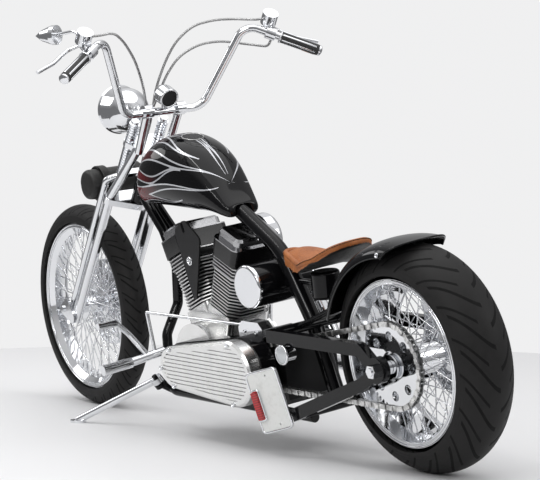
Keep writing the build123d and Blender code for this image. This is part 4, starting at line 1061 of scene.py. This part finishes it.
def grip_trim():
    """Bright strips let into each grip, a domed end and an inner collar."""
    places = []
    for side in (1, -1):
        inner = Vector((GRIP_INNER.x, side * GRIP_INNER.y, GRIP_INNER.z))
        outer = Vector((GRIP_OUTER.x, side * GRIP_OUTER.y, GRIP_OUTER.z))
        way = (outer - inner).normalized()
        middle = FORK @ facing(inner + way * (GRIP_FROM + GRIP_TO) / 2, way)
        for k in range(6):
            turn = Matrix.Rotation(math.pi * k / 3, 4, "Z")
            places.append(middle @ turn @ Matrix.Translation((GRIP_RADIUS - 0.0004, 0, 0)))
        name = "left" if side > 0 else "right"
        tip, collar = inner + way * GRIP_TIP, inner + way * GRIP_COLLAR
        dished_disc(f"{name}_grip_end", "fork", FORK, tip, way, 0.0165, 0.006, 0.005, chrome)
        ring_trim(f"{name}_grip_collar", "fork", FORK, collar, way, 0.0172, 0.0032, chrome)
    clear_selection()
    bpy.ops.mesh.primitive_cube_add(size=1)
    strip = bpy.context.object
    strip.scale = (0.003, 0.006, GRIP_TO - GRIP_FROM)
    fix_place(strip)
    shape_by(strip, "BEVEL", width=0.0012, segments=2)
    row = join_copies(strip, places, "grip_strips")
    finish_piece(row, "grip_strips", "fork", chrome, 40)


grip_trim()

GAUGE_MIDDLE = Vector((1.1832, 0.0, 1.0664))
GAUGE_TILT = math.radians(20)
gauge_back = Vector((-math.cos(GAUGE_TILT), 0, -math.sin(GAUGE_TILT)))
gauge_face = GAUGE_MIDDLE + gauge_back * 0.0305
dished_disc(
    "gauge_face", "fork", TURNED, gauge_face, gauge_back, 0.027, 0.003, -0.002, satin_black,
)
ring_trim("gauge_bezel", "fork", TURNED, gauge_face, gauge_back, 0.029, 0.0032, chrome)

lamp_rim = (SIDE_LAMP_X, 0.1935, SIDE_LAMP_Z)
lamp_face = (SIDE_LAMP_X, 0.1945, SIDE_LAMP_Z)
ring_trim("side_lamp_bezel", "frame", FRAME, lamp_rim, LEFT, 0.0265, 0.0040, chrome)
dished_disc(
    "side_lamp_lens", "frame", FRAME, lamp_face, LEFT, 0.0265, 0.004, 0.007, lamp_glass,
)

CAP_WAY = (-0.22, 0, 0.97)
CAP_RADIUS = 0.034
cap_base = (1.050, 0.0, 0.9335)
cap_top = (1.050, 0.0, 0.9375)
dished_disc(
    "fuel_cap", "frame", FRAME, cap_base, CAP_WAY, CAP_RADIUS, 0.010, 0.002, satin_black,
)
ring_trim("fuel_cap_rim", "frame", FRAME, cap_top, CAP_WAY, CAP_RADIUS, 0.0018, steel)

# Studio: floor, lamps, room and camera

floor_paint = Finish("studio_floor", (0.78, 0.78, 0.785), 0.55, 0.0, Specular_IOR_Level=0.3)
floor_paint.feed("Roughness", floor_paint.noise(3.0) * 0.2 + 0.45)
clear_selection()
bpy.ops.mesh.primitive_circle_add(vertices=160, radius=FLOOR_REACH, fill_type="NGON")
floor = bpy.context.object
floor.name = "studio_floor"
floor.data.materials.append(floor_paint.material)

# Soft boxes above and to the sides, and two strips for sharp highlights. Each row: name, place, place aimed
# at, power, length, and width where it isn't round
LAMPS = (
    ("overhead", (0.0, 0.3, 4.2), (0, 0, 0.4), 84.0, 5.6, None),
    ("left_side", (-2.4, 3.6, 2.2), (0, 0, 0.5), 27.0, 1.8, None),
    ("rear_side", (-3.4, -2.2, 2.4), (-0.4, 0, 0.5), 22.0, 1.6, None),
    ("front_side", (3.2, 1.6, 2.4), (0.6, 0, 0.6), 20.0, 1.6, None),
    ("left_strip", (-1.6, 3.8, 2.4), (0, 0, 0.5), 14.0, 2.2, 0.07),
    ("top_strip", (0.4, 1.4, 3.3), (0, 0, 0.6), 14.0, 2.6, 0.07),
)
ROOM_STOPS = ((0.0, (0.07, 0.07, 0.075)), (0.75, (0.80, 0.80, 0.81)))
ROOM_BANDS = 0.22
BACKDROP = (0.87, 0.87, 0.875)
BACKDROP_IN_METAL = 0.15


def studio_lamp(name, spot, aim, power, length, width):
    """An area lamp that faces a place."""
    bpy.ops.object.light_add(type="AREA", location=spot)
    lamp = bpy.context.object
    lamp.name = name
    lamp.data.energy = power
    lamp.data.shape = "RECTANGLE" if width else "DISK"
    lamp.data.size = length
    if width:
        lamp.data.size_y = width
    lamp.rotation_euler = (Vector(aim) - Vector(spot)).to_track_quat("-Z", "Y").to_euler()


def studio_room():
    """A pale room that fades downwards in soft bands, behind a plain backdrop that the camera sees."""
    scene.world = bpy.data.worlds.new("studio_room")
    scene.world.use_nodes = True
    room = Shading(scene.world.node_tree, "Background")
    x, y, z = room.parts(room.node("ShaderNodeTexCoord", {}, {}, "Generated"))
    level = (y * 3.5 + x * 5.0).sine() * ROOM_BANDS + z
    fade = room.node("ShaderNodeValToRGB", {"stops": ROOM_STOPS}, {"Fac": level}, "Color")
    seen, mirrored, through = (
        room.node("ShaderNodeLightPath", {}, {}, f"Is {kind} Ray")
        for kind in ("Camera", "Glossy", "Transmission")
    )
    room.feed("Color", room.blend(mirrored * BACKDROP_IN_METAL + seen + through, fade, BACKDROP))
    room.shader.inputs["Strength"].default_value = 1.0


CAMERA_PLACE = Vector((-6.631504, 4.438383, 1.183555))
CAMERA_LOOK = Vector((0.8155349, -0.5743211, -0.0711200))
CAMERA_LENS, CAMERA_SENSOR = 173.71, 36.0


def studio_camera():
    """Camera at the photograph's place: behind the machine's left side, low, with a long lens."""
    bpy.ops.object.camera_add()
    camera = bpy.context.object
    camera.data.sensor_width = CAMERA_SENSOR
    camera.data.lens = CAMERA_LENS
    right = CAMERA_LOOK.cross(Vector((0, 0, 1))).normalized()
    camera.matrix_world = axes(CAMERA_PLACE, right, right.cross(CAMERA_LOOK), -CAMERA_LOOK)
    scene.camera = camera


for row in LAMPS:
    studio_lamp(*row)
studio_room()
studio_camera()
